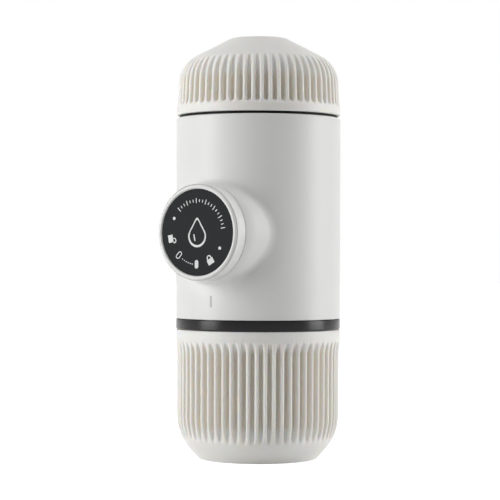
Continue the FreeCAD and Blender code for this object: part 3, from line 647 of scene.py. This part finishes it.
def make_band():
    """Black band with its spigot, and the dark line over it."""
    low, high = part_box("band_collar")
    spigot_r = body_r - CASING_WALL - BAND_FIT
    ring = rounded([
        (BAND_BORE_R, low.z, 0),
        (body_r - BAND_CHAMFER_IN, low.z, 0),
        (body_r, low.z + BAND_CHAMFER, BAND_LOW_ROUND),
        (body_r, BAND_TOP, BAND_TOP_ROUND),
        (body_r - BAND_STEP, BAND_TOP, 0),
        (body_r - BAND_STEP, CASING_LOW, 0),
        (spigot_r, CASING_LOW, 0),
        (spigot_r, high.z, 0),
        (BAND_BORE_R, high.z, 0),
        (BAND_BORE_R, low.z, 0),
    ], steps=5)
    piece = spun("band", divided(ring, BAND_FACET), CASING_COLUMNS)
    smooth(piece, SMOOTH_PLAIN)
    return piece


# Printed marks: angles in degrees seen from the front, anticlockwise from the right

PILL_ANGLE = 269.0
PILL_W = 1.55 * MM
PILL_LEN = 3.1 * MM
RING_ANGLE = 225.5
RING_W = 1.75 * MM
RING_IN_W = 1.05 * MM
RING_IN_LEN = 2.4 * MM
TRAIL_DOTS = 6
TRAIL_ANGLE = 236.5
TRAIL_STEP = 4.6
TRAIL_OUT = 0.1 * MM
TRAIL_DOT_R = 0.23 * MM
DOT_ANGLES = (153.5, 330.5)
DOT_R = 0.6 * MM
TICKS = 19
TICK_ANGLE = 134.0
TICK_STEP = 7.0
TICK_W = 0.32 * MM
TICK_LONG = 1.9 * MM
TICK_SHORT = 1.1 * MM
TICKS_PER_LONG = 3
LOCK_SIZE = 1.45
SHUT_LOCK_ANGLE = 300.0
SHUT_LOCK_TURN = 30.0
OPEN_LOCK_ANGLE = 191.0
OPEN_LOCK_TURN = -79.0
LOCK_HALF_W = 0.95 * MM
LOCK_LOW = -1.05 * MM
LOCK_TOP = 0.35 * MM
LOCK_SWING = 0.62 * MM
SHACKLE_OUT_R = 0.68 * MM
SHACKLE_IN_R = 0.40 * MM
SHACKLE_MID = 0.62 * MM
SHACKLE_FOOT = 0.30 * MM
SHACKLE_OPEN_FOOT = 0.45 * MM
SHACKLE_STEPS = 12
DROP_R = 3.9 * MM
DROP_LEN = 10.6 * MM
DROP_IN_R = 3.3 * MM
DROP_IN_LEN = 9.0 * MM
DROP_WAIST = 0.35
DROP_TIP = 1.5
GLINT_W = 0.5 * MM
GLINT_LEN = 2.6 * MM
GLINT_ANGLE = 238.0
GLINT_OUT = 2.2 * MM
GLINT_TURN = 12.0
INDEX_HALF_W = 0.42 * MM
INDEX_HALF_H = 2.05 * MM


def lifted(piece, thickness):
    """Gives a flat piece in the XY plane its thickness, upwards."""
    bpy.ops.object.mode_set(mode="EDIT")
    bpy.ops.mesh.select_all(action="SELECT")
    bpy.ops.mesh.extrude_region_move(TRANSFORM_OT_translate={"value": (0, 0, thickness)})
    bpy.ops.mesh.select_all(action="SELECT")
    bpy.ops.mesh.normals_make_consistent(inside=False)
    bpy.ops.object.mode_set(mode="OBJECT")
    return piece


def flat_shape(name, points):
    """Flat filled outline in the XY plane, drawn from one vertex."""
    clear_selection()
    bpy.ops.mesh.primitive_plane_add(size=MM * 0.1, location=(points[0][0], points[0][1], 0))
    piece = name_active(name)
    apply_place(piece)
    bpy.ops.object.mode_set(mode="EDIT")
    bpy.ops.mesh.select_all(action="SELECT")
    bpy.ops.mesh.merge(type="CENTER")
    for a, b in zip(points, points[1:]):
        bpy.ops.mesh.extrude_region_move(TRANSFORM_OT_translate={"value": (b[0] - a[0], b[1] - a[1], 0)})
    bpy.ops.mesh.select_all(action="SELECT")
    bpy.ops.mesh.edge_face_add()
    bpy.ops.object.mode_set(mode="OBJECT")
    return lifted(piece, sizes().print_lift)


def capsule_points(width, length, steps=8):
    """Outline of an upright pill."""
    r = width / 2
    half = length / 2 - r
    points = []
    for k in range(steps + 1):
        a = math.pi * k / steps
        points.append((r * math.cos(a), half + r * math.sin(a)))
    for k in range(steps + 1):
        a = math.pi + math.pi * k / steps
        points.append((r * math.cos(a), -half + r * math.sin(a)))
    return points


def circle_points(radius, steps=24):
    """Outline of a dot."""
    turns = [math.tau * k / steps for k in range(steps)]
    return [(radius * math.cos(turn), radius * math.sin(turn)) for turn in turns]


def framed_shape(name, outer, inner):
    """Flat frame between two outlines with as many points each, bridged."""
    piece = joined(name, [flat_loop(name, outer), flat_loop(name, inner)])
    bpy.ops.object.mode_set(mode="EDIT")
    bpy.ops.mesh.select_all(action="SELECT")
    bpy.ops.mesh.bridge_edge_loops()
    bpy.ops.object.mode_set(mode="OBJECT")
    return lifted(piece, sizes().print_lift)


def flat_loop(name, points):
    """Closed loop of edges in the XY plane."""
    clear_selection()
    bpy.ops.mesh.primitive_circle_add(vertices=len(points), radius=MM, fill_type="NOTHING")
    piece = name_active(name)
    for vertex, (x, y) in zip(piece.data.vertices, points):
        vertex.co = (x, y, 0)
    return piece


def set_on_face(piece, angle_deg, radius, turn_deg=0.0, size=1.0):
    """Puts a flat mark on the knob's face, at an angle seen from the front."""
    a = math.radians(angle_deg)
    place = Matrix.Translation((radius * math.cos(a), radius * math.sin(a), 0))
    turn = Matrix.Rotation(math.radians(turn_deg), 4, "Z") @ Matrix.Diagonal((size, size, 1, 1))
    stand = Matrix.Rotation(math.radians(90), 4, "X")
    face = Matrix.Translation((0, label_face_y, knob_z)) @ stand
    piece.matrix_world = face @ place @ turn @ piece.matrix_world
    apply_place(piece)
    return piece


def padlock(name, opened):
    """Body and shackle of a small padlock, as two marks."""
    body = flat_shape(name + "_body", [
        (-LOCK_HALF_W, LOCK_LOW), (LOCK_HALF_W, LOCK_LOW), (LOCK_HALF_W, LOCK_TOP), (-LOCK_HALF_W, LOCK_TOP)
    ])
    shift = LOCK_SWING if opened else 0.0
    outer = []
    inner = []
    for k in range(SHACKLE_STEPS + 1):
        a = math.pi * k / SHACKLE_STEPS
        c, s = math.cos(a), math.sin(a)
        outer.append((shift + SHACKLE_OUT_R * c, SHACKLE_MID + SHACKLE_OUT_R * s))
        inner.append((shift + SHACKLE_IN_R * c, SHACKLE_MID + SHACKLE_IN_R * s))
    foot = SHACKLE_OPEN_FOOT if opened else SHACKLE_FOOT
    outer.append((shift - SHACKLE_OUT_R, foot))
    inner.append((shift - SHACKLE_IN_R, foot))
    first = (shift + SHACKLE_OUT_R, SHACKLE_FOOT)
    last = (shift + SHACKLE_IN_R, SHACKLE_FOOT)
    shackle = flat_shape(name + "_shackle", [first] + outer + inner[::-1] + [last])
    return [body, shackle]


def joined(name, pieces):
    """Joins pieces into one and names it."""
    clear_selection()
    for piece in pieces:
        piece.select_set(True)
    bpy.context.view_layer.objects.active = pieces[0]
    bpy.ops.object.join()
    return name_active(name)


def make_knob_marks():
    """White print of the knob's face: lock marks, dotted arc, ticks and a drop."""
    r = sizes().mark_ring_r
    marks = []
    pill = flat_shape("pill", capsule_points(PILL_W, PILL_LEN))
    marks.append(set_on_face(pill, PILL_ANGLE, r, PILL_ANGLE + 90))
    ring = framed_shape("open_pill", capsule_points(RING_W, PILL_LEN), capsule_points(RING_IN_W, RING_IN_LEN))
    marks.append(set_on_face(ring, RING_ANGLE, r, RING_ANGLE + 90))
    for k in range(TRAIL_DOTS):
        dot = flat_shape("dot", circle_points(TRAIL_DOT_R, steps=12))
        marks.append(set_on_face(dot, TRAIL_ANGLE + TRAIL_STEP * k, r + TRAIL_OUT))
    for angle in DOT_ANGLES:
        dot = flat_shape("dot", circle_points(DOT_R))
        marks.append(set_on_face(dot, angle, r))
    for k in range(TICKS):
        length = TICK_LONG if k % TICKS_PER_LONG == 0 else TICK_SHORT
        tick = flat_shape("tick", capsule_points(TICK_W, length, steps=4))
        angle = TICK_ANGLE - TICK_STEP * k
        marks.append(set_on_face(tick, angle, r, angle + 90))
    for piece in padlock("shut_lock", False):
        marks.append(set_on_face(piece, SHUT_LOCK_ANGLE, r, SHUT_LOCK_TURN, LOCK_SIZE))
    for piece in padlock("open_lock", True):
        marks.append(set_on_face(piece, OPEN_LOCK_ANGLE, r, OPEN_LOCK_TURN, LOCK_SIZE))
    drop = framed_shape("drop", drop_points(DROP_R, DROP_LEN), drop_points(DROP_IN_R, DROP_IN_LEN))
    marks.append(set_on_face(drop, 0, 0))
    glint = flat_shape("glint", capsule_points(GLINT_W, GLINT_LEN, steps=5))
    marks.append(set_on_face(glint, GLINT_ANGLE, GLINT_OUT, GLINT_TURN))
    return joined("knob_marks", marks)


def drop_points(radius, height, steps=36):
    """Outline of a water drop, round below and drawn to a point above."""
    points = []
    centre = -height / 2 + radius
    for k in range(steps):
        a = math.tau * k / steps + math.pi / 2
        pull = max(0.0, math.sin(a)) ** 3
        x = radius * math.cos(a) * (1 - DROP_WAIST * pull)
        y = centre + radius * math.sin(a) + (height - 2 * radius) * pull ** DROP_TIP
        points.append((x, y))
    return points


def make_index_line():
    """Index line on the casing, bent to the casing's round."""
    s = sizes()
    clear_selection()
    bpy.ops.mesh.primitive_grid_add(x_subdivisions=6, y_subdivisions=2, size=MM)
    piece = name_active("index_line")
    half = MM / 2
    for vertex in piece.data.vertices:
        across = vertex.co.x / half * INDEX_HALF_W
        up = vertex.co.y / half * INDEX_HALF_H
        angle = across / body_r
        vertex.co = (body_r * math.sin(angle), -body_r * math.cos(angle), s.index_height + up)
    solid = piece.modifiers.new("thickness", "SOLIDIFY")
    solid.thickness = 2 * s.print_lift
    solid.offset = 0
    bpy.ops.object.modifier_apply(modifier=solid.name)
    return piece


# Materials

# Depth below the rib crest radius where the painted groove shade starts
UNSHADED_CREST_DEPTH = 0.15 * MM

# Heights over which the warm shade painted in the grooves comes and goes, on the tank and on the cup
RIB_ZONES = (
    (tank_low.z + 12 * MM, tank_low.z + 14 * MM, TANK_GROOVE_FULL, TANK_GROOVE_TOP),
    (cup_low.z + CUP_GROOVE_LOW, cup_low.z + 4.2 * MM, cup_low.z + 12 * MM, cup_low.z + 15 * MM),
)


def socket(group, name, kind, direction, default=None):
    """Adds an input or an output to a node group."""
    made = group.interface.new_socket(name=name, in_out=direction, socket_type=kind)
    if default is not None:
        made.default_value = default
    return made


def moulded_group():
    """Fine moulded grain: height for bump, a roughness and a colour that drift a little."""
    group = bpy.data.node_groups.new("moulded_grain", "ShaderNodeTree")
    socket(group, "Colour", "NodeSocketColor", "INPUT", (0.8, 0.8, 0.8, 1))
    socket(group, "Roughness", "NodeSocketFloat", "INPUT", 0.4)
    socket(group, "Grain scale", "NodeSocketFloat", "INPUT", 9000.0)
    socket(group, "Drift", "NodeSocketFloat", "INPUT", 0.03)
    socket(group, "Colour", "NodeSocketColor", "OUTPUT")
    socket(group, "Roughness", "NodeSocketFloat", "OUTPUT")
    socket(group, "Height", "NodeSocketFloat", "OUTPUT")
    n, link = group.nodes, group.links.new
    inputs = n.new("NodeGroupInput")
    outputs = n.new("NodeGroupOutput")
    place = n.new("ShaderNodeTexCoord")
    fine = n.new("ShaderNodeTexNoise")
    fine.inputs["Detail"].default_value = 3.0
    link(place.outputs["Object"], fine.inputs["Vector"])
    link(inputs.outputs["Grain scale"], fine.inputs["Scale"])
    broad = n.new("ShaderNodeTexNoise")
    broad.inputs["Scale"].default_value = 60.0
    broad.inputs["Detail"].default_value = 4.0
    link(place.outputs["Object"], broad.inputs["Vector"])
    centred = n.new("ShaderNodeMath")
    centred.operation = "SUBTRACT"
    centred.inputs[1].default_value = 0.5
    link(broad.outputs["Fac"], centred.inputs[0])
    drift = n.new("ShaderNodeMath")
    drift.operation = "MULTIPLY_ADD"
    drift.inputs[2].default_value = 1.0
    link(centred.outputs[0], drift.inputs[0])
    link(inputs.outputs["Drift"], drift.inputs[1])
    tint = n.new("ShaderNodeVectorMath")
    tint.operation = "SCALE"
    link(inputs.outputs["Colour"], tint.inputs[0])
    link(drift.outputs[0], tint.inputs["Scale"])
    link(tint.outputs[0], outputs.inputs["Colour"])
    rough = n.new("ShaderNodeMath")
    rough.operation = "MULTIPLY_ADD"
    rough.inputs[1].default_value = 0.10
    link(centred.outputs[0], rough.inputs[0])
    link(inputs.outputs["Roughness"], rough.inputs[2])
    link(rough.outputs[0], outputs.inputs["Roughness"])
    link(fine.outputs["Fac"], outputs.inputs["Height"])
    return group


def grained(name, colour, roughness, grain=9000.0, drift=0.03, bump=0.05, bump_mm=0.02):
    """Material with moulded grain, ready for more nodes."""
    material = bpy.data.materials.new(name)
    material.use_nodes = True
    tree = material.node_tree
    shader = tree.nodes["Principled BSDF"]
    group = tree.nodes.new("ShaderNodeGroup")
    group.node_tree = bpy.data.node_groups.get("moulded_grain") or moulded_group()
    group.inputs["Colour"].default_value = (*colour, 1)
    group.inputs["Roughness"].default_value = roughness
    group.inputs["Grain scale"].default_value = grain
    group.inputs["Drift"].default_value = drift
    bumped = tree.nodes.new("ShaderNodeBump")
    bumped.inputs["Strength"].default_value = bump
    bumped.inputs["Distance"].default_value = bump_mm * MM
    tree.links.new(group.outputs["Colour"], shader.inputs["Base Color"])
    tree.links.new(group.outputs["Roughness"], shader.inputs["Roughness"])
    tree.links.new(group.outputs["Height"], bumped.inputs["Height"])
    tree.links.new(bumped.outputs["Normal"], shader.inputs["Normal"])
    return material, tree, shader, group


def matt(name, colour, roughness, gloss):
    """Moulded plastic with its own amount of gloss."""
    material, _, shader, _ = grained(name, colour, roughness, grain=7000.0, drift=0.02, bump=0.10)
    shader.inputs["Specular IOR Level"].default_value = gloss
    return material


def ribbed_finish():
    """White of cup and tank, painted lighter than the casing's white of the same plastic as painted light on
    the ribs, with a warm shade painted down in the grooves.
    """
    c = colours()
    material, tree, shader, group = grained(
        "ribbed_white", c.ribbed, roughness=0.45, grain=7000.0, drift=0.02, bump=0.10
    )
    shader.inputs["Specular IOR Level"].default_value = 0.3
    shader.inputs["Subsurface Weight"].default_value = 0.55
    shader.inputs["Subsurface Radius"].default_value = (1.0, 0.75, 0.5)
    shader.inputs["Subsurface Scale"].default_value = 1.2 * MM
    n, link = tree.nodes, tree.links.new
    place = n.new("ShaderNodeTexCoord")
    split = n.new("ShaderNodeSeparateXYZ")
    flat = n.new("ShaderNodeCombineXYZ")
    reach = n.new("ShaderNodeVectorMath")
    reach.operation = "LENGTH"
    link(place.outputs["Object"], split.inputs[0])
    link(split.outputs["X"], flat.inputs["X"])
    link(split.outputs["Y"], flat.inputs["Y"])
    link(flat.outputs[0], reach.inputs[0])
    # Painted shade: the groove colour is mixed in with depth below the rib crests, over the ribbed heights
    groove_shade_depth = n.new("ShaderNodeMapRange")
    groove_shade_depth.interpolation_type = "SMOOTHSTEP"
    groove_shade_depth.inputs["From Min"].default_value = sizes().crest_r - UNSHADED_CREST_DEPTH
    groove_shade_depth.inputs["From Max"].default_value = sizes().floor_r
    link(reach.outputs["Value"], groove_shade_depth.inputs["Value"])
    blend = n.new("ShaderNodeMix")
    blend.data_type = "RGBA"
    blend.inputs["A"].default_value = (*c.ribbed, 1)
    blend.inputs["B"].default_value = (*c.groove, 1)
    groove_shade_heights = rib_zone(tree, split)
    painted_groove_shade = n.new("ShaderNodeMath")
    painted_groove_shade.operation = "MULTIPLY"
    link(groove_shade_depth.outputs["Result"], painted_groove_shade.inputs[0])
    link(groove_shade_heights, painted_groove_shade.inputs[1])
    link(painted_groove_shade.outputs[0], blend.inputs["Factor"])
    link(blend.outputs["Result"], group.inputs["Colour"])
    return material


def rib_zone(tree, split):
    """Mask that is one over the heights where a moulding is ribbed."""
    total = None
    for low0, low1, high0, high1 in RIB_ZONES:
        rise = tree.nodes.new("ShaderNodeMapRange")
        rise.inputs["From Min"].default_value = low0
        rise.inputs["From Max"].default_value = low1
        fall = tree.nodes.new("ShaderNodeMapRange")
        fall.inputs["From Min"].default_value = high1
        fall.inputs["From Max"].default_value = high0
        both = tree.nodes.new("ShaderNodeMath")
        both.operation = "MULTIPLY"
        tree.links.new(split.outputs["Z"], rise.inputs["Value"])
        tree.links.new(split.outputs["Z"], fall.inputs["Value"])
        tree.links.new(rise.outputs["Result"], both.inputs[0])
        tree.links.new(fall.outputs["Result"], both.inputs[1])
        if total is None:
            total = both.outputs[0]
        else:
            add = tree.nodes.new("ShaderNodeMath")
            add.operation = "ADD"
            tree.links.new(total, add.inputs[0])
            tree.links.new(both.outputs[0], add.inputs[1])
            total = add.outputs[0]
    return total


def steel_finish(name, roughness, stretch):
    """Turned or drawn steel, with fine lines across one axis."""
    material, tree, shader, _ = grained(
        name, (0.60, 0.60, 0.59), roughness, grain=1500.0, drift=0.06, bump=0.12, bump_mm=0.01
    )
    shader.inputs["Metallic"].default_value = 1.0
    n, link = tree.nodes, tree.links.new
    place = n.new("ShaderNodeTexCoord")
    mapping = n.new("ShaderNodeMapping")
    mapping.inputs["Scale"].default_value = stretch
    lines = n.new("ShaderNodeTexNoise")
    lines.inputs["Scale"].default_value = 1200.0
    lines.inputs["Detail"].default_value = 2.0
    link(place.outputs["Object"], mapping.inputs["Vector"])
    link(mapping.outputs[0], lines.inputs["Vector"])
    link(lines.outputs["Fac"], tree.nodes["Bump"].inputs["Height"])
    return material


def liner_finish():
    """Smoky, smooth plastic of the inner water vessel."""
    material, _, shader, _ = grained(
        "liner_smoky", (0.42, 0.44, 0.45), roughness=0.12, grain=3000.0, drift=0.02, bump=0.02
    )
    shader.inputs["Coat Weight"].default_value = 0.3
    return material


class MAKER_OT_clear(bpy.types.Operator):
    """Take away what a new Blender file starts with."""

    bl_idname = "maker.clear"
    bl_label = "Clear"

    def execute(self, context):
        clear_selection()
        for name in ("Cube", "Light", "Camera"):
            if name in bpy.data.objects:
                bpy.data.objects[name].select_set(True)
        bpy.ops.object.delete()
        return {"FINISHED"}


class MAKER_OT_tank(bpy.types.Operator):
    """Build the ribbed tank moulding."""

    bl_idname = "maker.tank"
    bl_label = "Ribbed tank"

    def execute(self, context):
        finish_piece(make_tank(), bpy.data.materials["ribbed_white"], "tank", "white_ribbed", "tank_sleeve")
        return {"FINISHED"}


class MAKER_OT_cup(bpy.types.Operator):
    """Build the ribbed cup."""

    bl_idname = "maker.cup"
    bl_label = "Ribbed cup"

    def execute(self, context):
        finish_piece(make_cup(), bpy.data.materials["ribbed_white"], "cup", "white_ribbed", "cup")
        return {"FINISHED"}


class MAKER_OT_casing(bpy.types.Operator):
    """Build the casing with its boss, and the black band under it."""

    bl_idname = "maker.casing"
    bl_label = "Casing and band"

    def execute(self, context):
        materials = bpy.data.materials
        finish_piece(make_casing(), materials["casing_white"], "main_body", "white_shell", "body_shell")
        finish_piece(make_band(), materials["black_satin"], "main_body", "black_plastic", "band_collar")
        return {"FINISHED"}


class MAKER_OT_marks(bpy.types.Operator):
    """Print the marks on the knob's face and the index line on the casing."""

    bl_idname = "maker.marks"
    bl_label = "Printed marks"

    def execute(self, context):
        c = colours()
        white = grained("mark_white", c.mark, roughness=0.5, drift=0.02, bump=0.03)[0]
        grey = grained("index_grey", c.index, roughness=0.5, drift=0.02, bump=0.03)[0]
        finish_piece(make_knob_marks(), white, "knob", "label_charcoal")
        finish_piece(make_index_line(), grey, "main_body", "white_shell")
        return {"FINISHED"}


class MAKER_OT_finishes(bpy.types.Operator):
    """Make the finishes and give them to the solids that stay."""

    bl_idname = "maker.finishes"
    bl_label = "Finishes"

    def execute(self, context):
        c = colours()
        ribbed_finish()
        label = matt("label_charcoal", c.label, roughness=0.7, gloss=0.12)
        black = matt("black_satin", c.band, roughness=0.25, gloss=0.24)
        holder = matt("holder_black", (0.006, 0.006, 0.006), roughness=0.55, gloss=0.10)
        dark = grained(
            "frame_dark", (0.035, 0.035, 0.038), roughness=0.55, grain=2500.0, drift=0.15, bump=0.25
        )[0]
        acetal = grained("acetal", (0.70, 0.69, 0.64), roughness=0.40, grain=5000.0)[0]
        red = grained("silicone_red", (0.45, 0.10, 0.06), roughness=0.55, grain=5000.0, drift=0.05)[0]
        rubber = grained(
            "black_rubber", (0.022, 0.022, 0.022), roughness=0.65, grain=4000.0, drift=0.10, bump=0.15
        )[0]
        casing = matt("casing_white", c.shell, roughness=0.42, gloss=0.35)
        knob = matt("knob_white", c.shell, roughness=0.40, gloss=0.35)
        turned = steel_finish("steel_turned", roughness=0.28, stretch=(1, 30, 1))
        pressed = steel_finish("steel_pressed", roughness=0.32, stretch=(1, 1, 40))
        wearers = {
            casing: ("body_shell",),
            label: ("knob_label",),
            knob: ("knob",),
            black: ("band_collar", "guide_sleeve"),
            holder: ("portafilter",),
            dark: ("inner_frame", "bulkhead", "group_head"),
            acetal: ("valve_block", "piston_head"),
            red: ("tank_seal", "vent_valve", "group_gasket", "spout_valve"),
            rubber: ("neck_ring", "piston_ring", "cup_ring"),
            turned: ("pump_barrel", "piston_rod", "return_spring", "inlet_ball", "outlet_ball"),
            pressed: (
                "inlet_tube", "outlet_tube", "shower_screen", "filter_basket", "spout",
                "inlet_strainer", "bulkhead_screws",
            ),
            liner_finish(): ("tank_liner",),
        }
        for material, nodes in wearers.items():
            for node in nodes:
                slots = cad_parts[node].data.materials
                slots.clear()
                slots.append(material)
        return {"FINISHED"}


class MAKER_OT_stage(bpy.types.Operator):
    """Set up the floor, the lamps, the sky and the camera."""

    bl_idname = "maker.stage"
    bl_label = "Stage"

    def execute(self, context):
        make_floor()
        make_sky()
        make_lamps()
        make_camera()
        context.scene.view_settings.view_transform = "Standard"
        return {"FINISHED"}


# Stage

AIM_LEFT = 3.07 * MM
AIM_HEIGHT = 77.36 * MM
ROLL = math.radians(0.19)
SENSOR = 36.0
CLIP_START = 0.01
FLOOR_R = 4.0
FLOOR_INSET = 2.0
FLOOR_DROP = 0.0001
# Floor glow: turned down to GLOW_SHADED near the object as painted shade, full strength further off
GLOW_NEAR = 0.10
GLOW_FAR = 0.60
GLOW_SHADED = 0.80
SIDE_BOX = (0.28, 0.40)
SIDE_BOX_HEIGHT = 0.20
SIDE_BOX_REACH = 0.60
TOP_BOX = (0.5, 0.5)
TOP_BOX_HEIGHT = 0.75
TOP_BOX_REACH = 0.10
LEFT_TURN = math.radians(-71)
RIGHT_TURN = math.radians(88)
TOP_TURN = math.radians(10)
LAMP_AIM = 0.078


def backdrop_rays(tree):
    """One where a ray from the camera, in gloss or through glass sees the backdrop."""
    path = tree.nodes.new("ShaderNodeLightPath")
    total = path.outputs["Is Camera Ray"]
    for kind in ("Is Glossy Ray", "Is Transmission Ray"):
        either = tree.nodes.new("ShaderNodeMath")
        either.operation = "MAXIMUM"
        tree.links.new(total, either.inputs[0])
        tree.links.new(path.outputs[kind], either.inputs[1])
        total = either.outputs[0]
    return total


def glow_with_painted_shade(tree, glow):
    """Floor glow painted a little darker round the object, as painted shade where its shadow lies, and white
    further off.
    """
    place = tree.nodes.new("ShaderNodeTexCoord")
    reach = tree.nodes.new("ShaderNodeVectorMath")
    reach.operation = "LENGTH"
    away = tree.nodes.new("ShaderNodeMapRange")
    away.interpolation_type = "SMOOTHSTEP"
    away.inputs["From Min"].default_value = GLOW_NEAR
    away.inputs["From Max"].default_value = GLOW_FAR
    # Painted shade: the glow is weaker near the object
    away.inputs["To Min"].default_value = GLOW_SHADED
    away.inputs["To Max"].default_value = 1.0
    tree.links.new(place.outputs["Object"], reach.inputs[0])
    tree.links.new(reach.outputs["Value"], away.inputs["Value"])
    tree.links.new(away.outputs["Result"], glow.inputs["Strength"])


def make_floor():
    """Large pale floor that keeps the object's shadow."""
    clear_selection()
    bpy.ops.mesh.primitive_circle_add(
        vertices=96, radius=FLOOR_R, fill_type="NGON", location=(0, 0, -FLOOR_DROP)
    )
    floor = name_active("floor")
    bpy.ops.object.mode_set(mode="EDIT")
    bpy.ops.mesh.select_all(action="SELECT")
    bpy.ops.mesh.inset(thickness=FLOOR_INSET)
    bpy.ops.object.mode_set(mode="OBJECT")
    material = bpy.data.materials.new("floor_white")
    material.use_nodes = True
    tree = material.node_tree
    shader = tree.nodes["Principled BSDF"]
    shader.inputs["Base Color"].default_value = (0.88, 0.88, 0.88, 1)
    shader.inputs["Specular IOR Level"].default_value = 0.1
    shader.inputs["Roughness"].default_value = 0.7
    glow = tree.nodes.new("ShaderNodeEmission")
    glow.inputs["Color"].default_value = (1, 1, 1, 1)
    glow_with_painted_shade(tree, glow)
    add = tree.nodes.new("ShaderNodeAddShader")
    mix = tree.nodes.new("ShaderNodeMixShader")
    out = tree.nodes["Material Output"]
    tree.links.new(shader.outputs[0], add.inputs[0])
    tree.links.new(glow.outputs[0], add.inputs[1])
    tree.links.new(backdrop_rays(tree), mix.inputs[0])
    tree.links.new(shader.outputs[0], mix.inputs[1])
    tree.links.new(add.outputs[0], mix.inputs[2])
    tree.links.new(mix.outputs[0], out.inputs["Surface"])
    floor.data.materials.append(material)


def make_sky():
    """Even grey light, white to the camera."""
    world = bpy.data.worlds.new("sky")
    bpy.context.scene.world = world
    world.use_nodes = True
    tree = world.node_tree
    even = tree.nodes["Background"]
    even.inputs["Color"].default_value = (1, 1, 1, 1)
    even.inputs["Strength"].default_value = bpy.context.scene.stage_settings.sky
    white = tree.nodes.new("ShaderNodeBackground")
    white.inputs["Color"].default_value = (1, 1, 1, 1)
    mix = tree.nodes.new("ShaderNodeMixShader")
    tree.links.new(backdrop_rays(tree), mix.inputs[0])
    tree.links.new(even.outputs[0], mix.inputs[1])
    tree.links.new(white.outputs[0], mix.inputs[2])
    tree.links.new(mix.outputs[0], tree.nodes["World Output"].inputs["Surface"])


def lamp(name, turn, height, reach, size, power):
    """Soft box at an angle from the camera's side, facing the object."""
    s = bpy.context.scene.stage_settings
    a = s.camera_turn + turn
    place = Vector((math.sin(a) * reach, -math.cos(a) * reach, height))
    clear_selection()
    bpy.ops.object.light_add(type="AREA", location=place)
    box = bpy.context.object
    box.name = name
    box.data.shape = "RECTANGLE"
    box.data.size, box.data.size_y = size
    box.data.energy = power
    aim = Vector((0, 0, LAMP_AIM)) - place
    box.rotation_euler = aim.to_track_quat("-Z", "Y").to_euler()


def make_lamps():
    """Two upright soft boxes at the sides and one overhead."""
    s = bpy.context.scene.stage_settings
    lamp("left_box", LEFT_TURN, SIDE_BOX_HEIGHT, SIDE_BOX_REACH, SIDE_BOX, s.left_lamp)
    lamp("right_box", RIGHT_TURN, SIDE_BOX_HEIGHT, SIDE_BOX_REACH, SIDE_BOX, s.right_lamp)
    lamp("top_box", TOP_TURN, TOP_BOX_HEIGHT, TOP_BOX_REACH, TOP_BOX, s.top_lamp)


def make_camera():
    """Level camera at the photograph's place, distance and lens."""
    s = bpy.context.scene.stage_settings
    a = s.camera_turn
    place = Vector((math.sin(a) * s.camera_range, -math.cos(a) * s.camera_range, s.camera_height))
    aim = Vector((-math.cos(a), -math.sin(a), 0)) * AIM_LEFT + Vector((0, 0, AIM_HEIGHT))
    clear_selection()
    bpy.ops.object.camera_add(location=place)
    camera = bpy.context.object
    camera.name = "camera"
    camera.data.lens = s.lens
    camera.data.sensor_width = SENSOR
    camera.data.clip_start = CLIP_START
    level = (aim - place).to_track_quat("-Z", "Y")
    roll = Matrix.Rotation(ROLL, 4, "Z").to_quaternion()
    camera.rotation_euler = (level @ roll).to_euler()
    bpy.context.scene.camera = camera


class MAKER_PT_panel(bpy.types.Panel):
    """Lists the pieces and their sizes."""

    bl_idname = "MAKER_PT_panel"
    bl_label = "Espresso maker"
    bl_space_type = "VIEW_3D"
    bl_region_type = "UI"
    bl_category = "Espresso maker"

    def draw(self, context):
        for cls in OPERATORS:
            self.layout.operator(cls.bl_idname)
        for group in (context.scene.maker_sizes, context.scene.maker_colours, context.scene.stage_settings):
            for name in group.__annotations__:
                self.layout.prop(group, name)


OPERATORS = (
    MAKER_OT_clear, MAKER_OT_finishes, MAKER_OT_tank, MAKER_OT_cup, MAKER_OT_casing, MAKER_OT_marks,
    MAKER_OT_stage,
)
GROUPS = (MakerSizes, MakerColours, StageSettings)


def register():
    """Registers the classes and the scene's settings."""
    for cls in GROUPS + OPERATORS + (MAKER_PT_panel,):
        bpy.utils.register_class(cls)
    bpy.types.Scene.maker_sizes = bpy.props.PointerProperty(type=MakerSizes)
    bpy.types.Scene.maker_colours = bpy.props.PointerProperty(type=MakerColours)
    bpy.types.Scene.stage_settings = bpy.props.PointerProperty(type=StageSettings)


def unregister():
    """Takes the classes and the settings away again."""
    del bpy.types.Scene.stage_settings
    del bpy.types.Scene.maker_colours
    del bpy.types.Scene.maker_sizes
    for cls in reversed(GROUPS + OPERATORS + (MAKER_PT_panel,)):
        bpy.utils.unregister_class(cls)


def main():
    """Builds everything in order."""
    register()
    bpy.ops.maker.clear()
    bpy.ops.maker.finishes()
    bpy.ops.maker.tank()
    bpy.ops.maker.cup()
    bpy.ops.maker.casing()
    bpy.ops.maker.marks()
    bpy.ops.maker.stage()


if __name__ == "__main__":
    main()
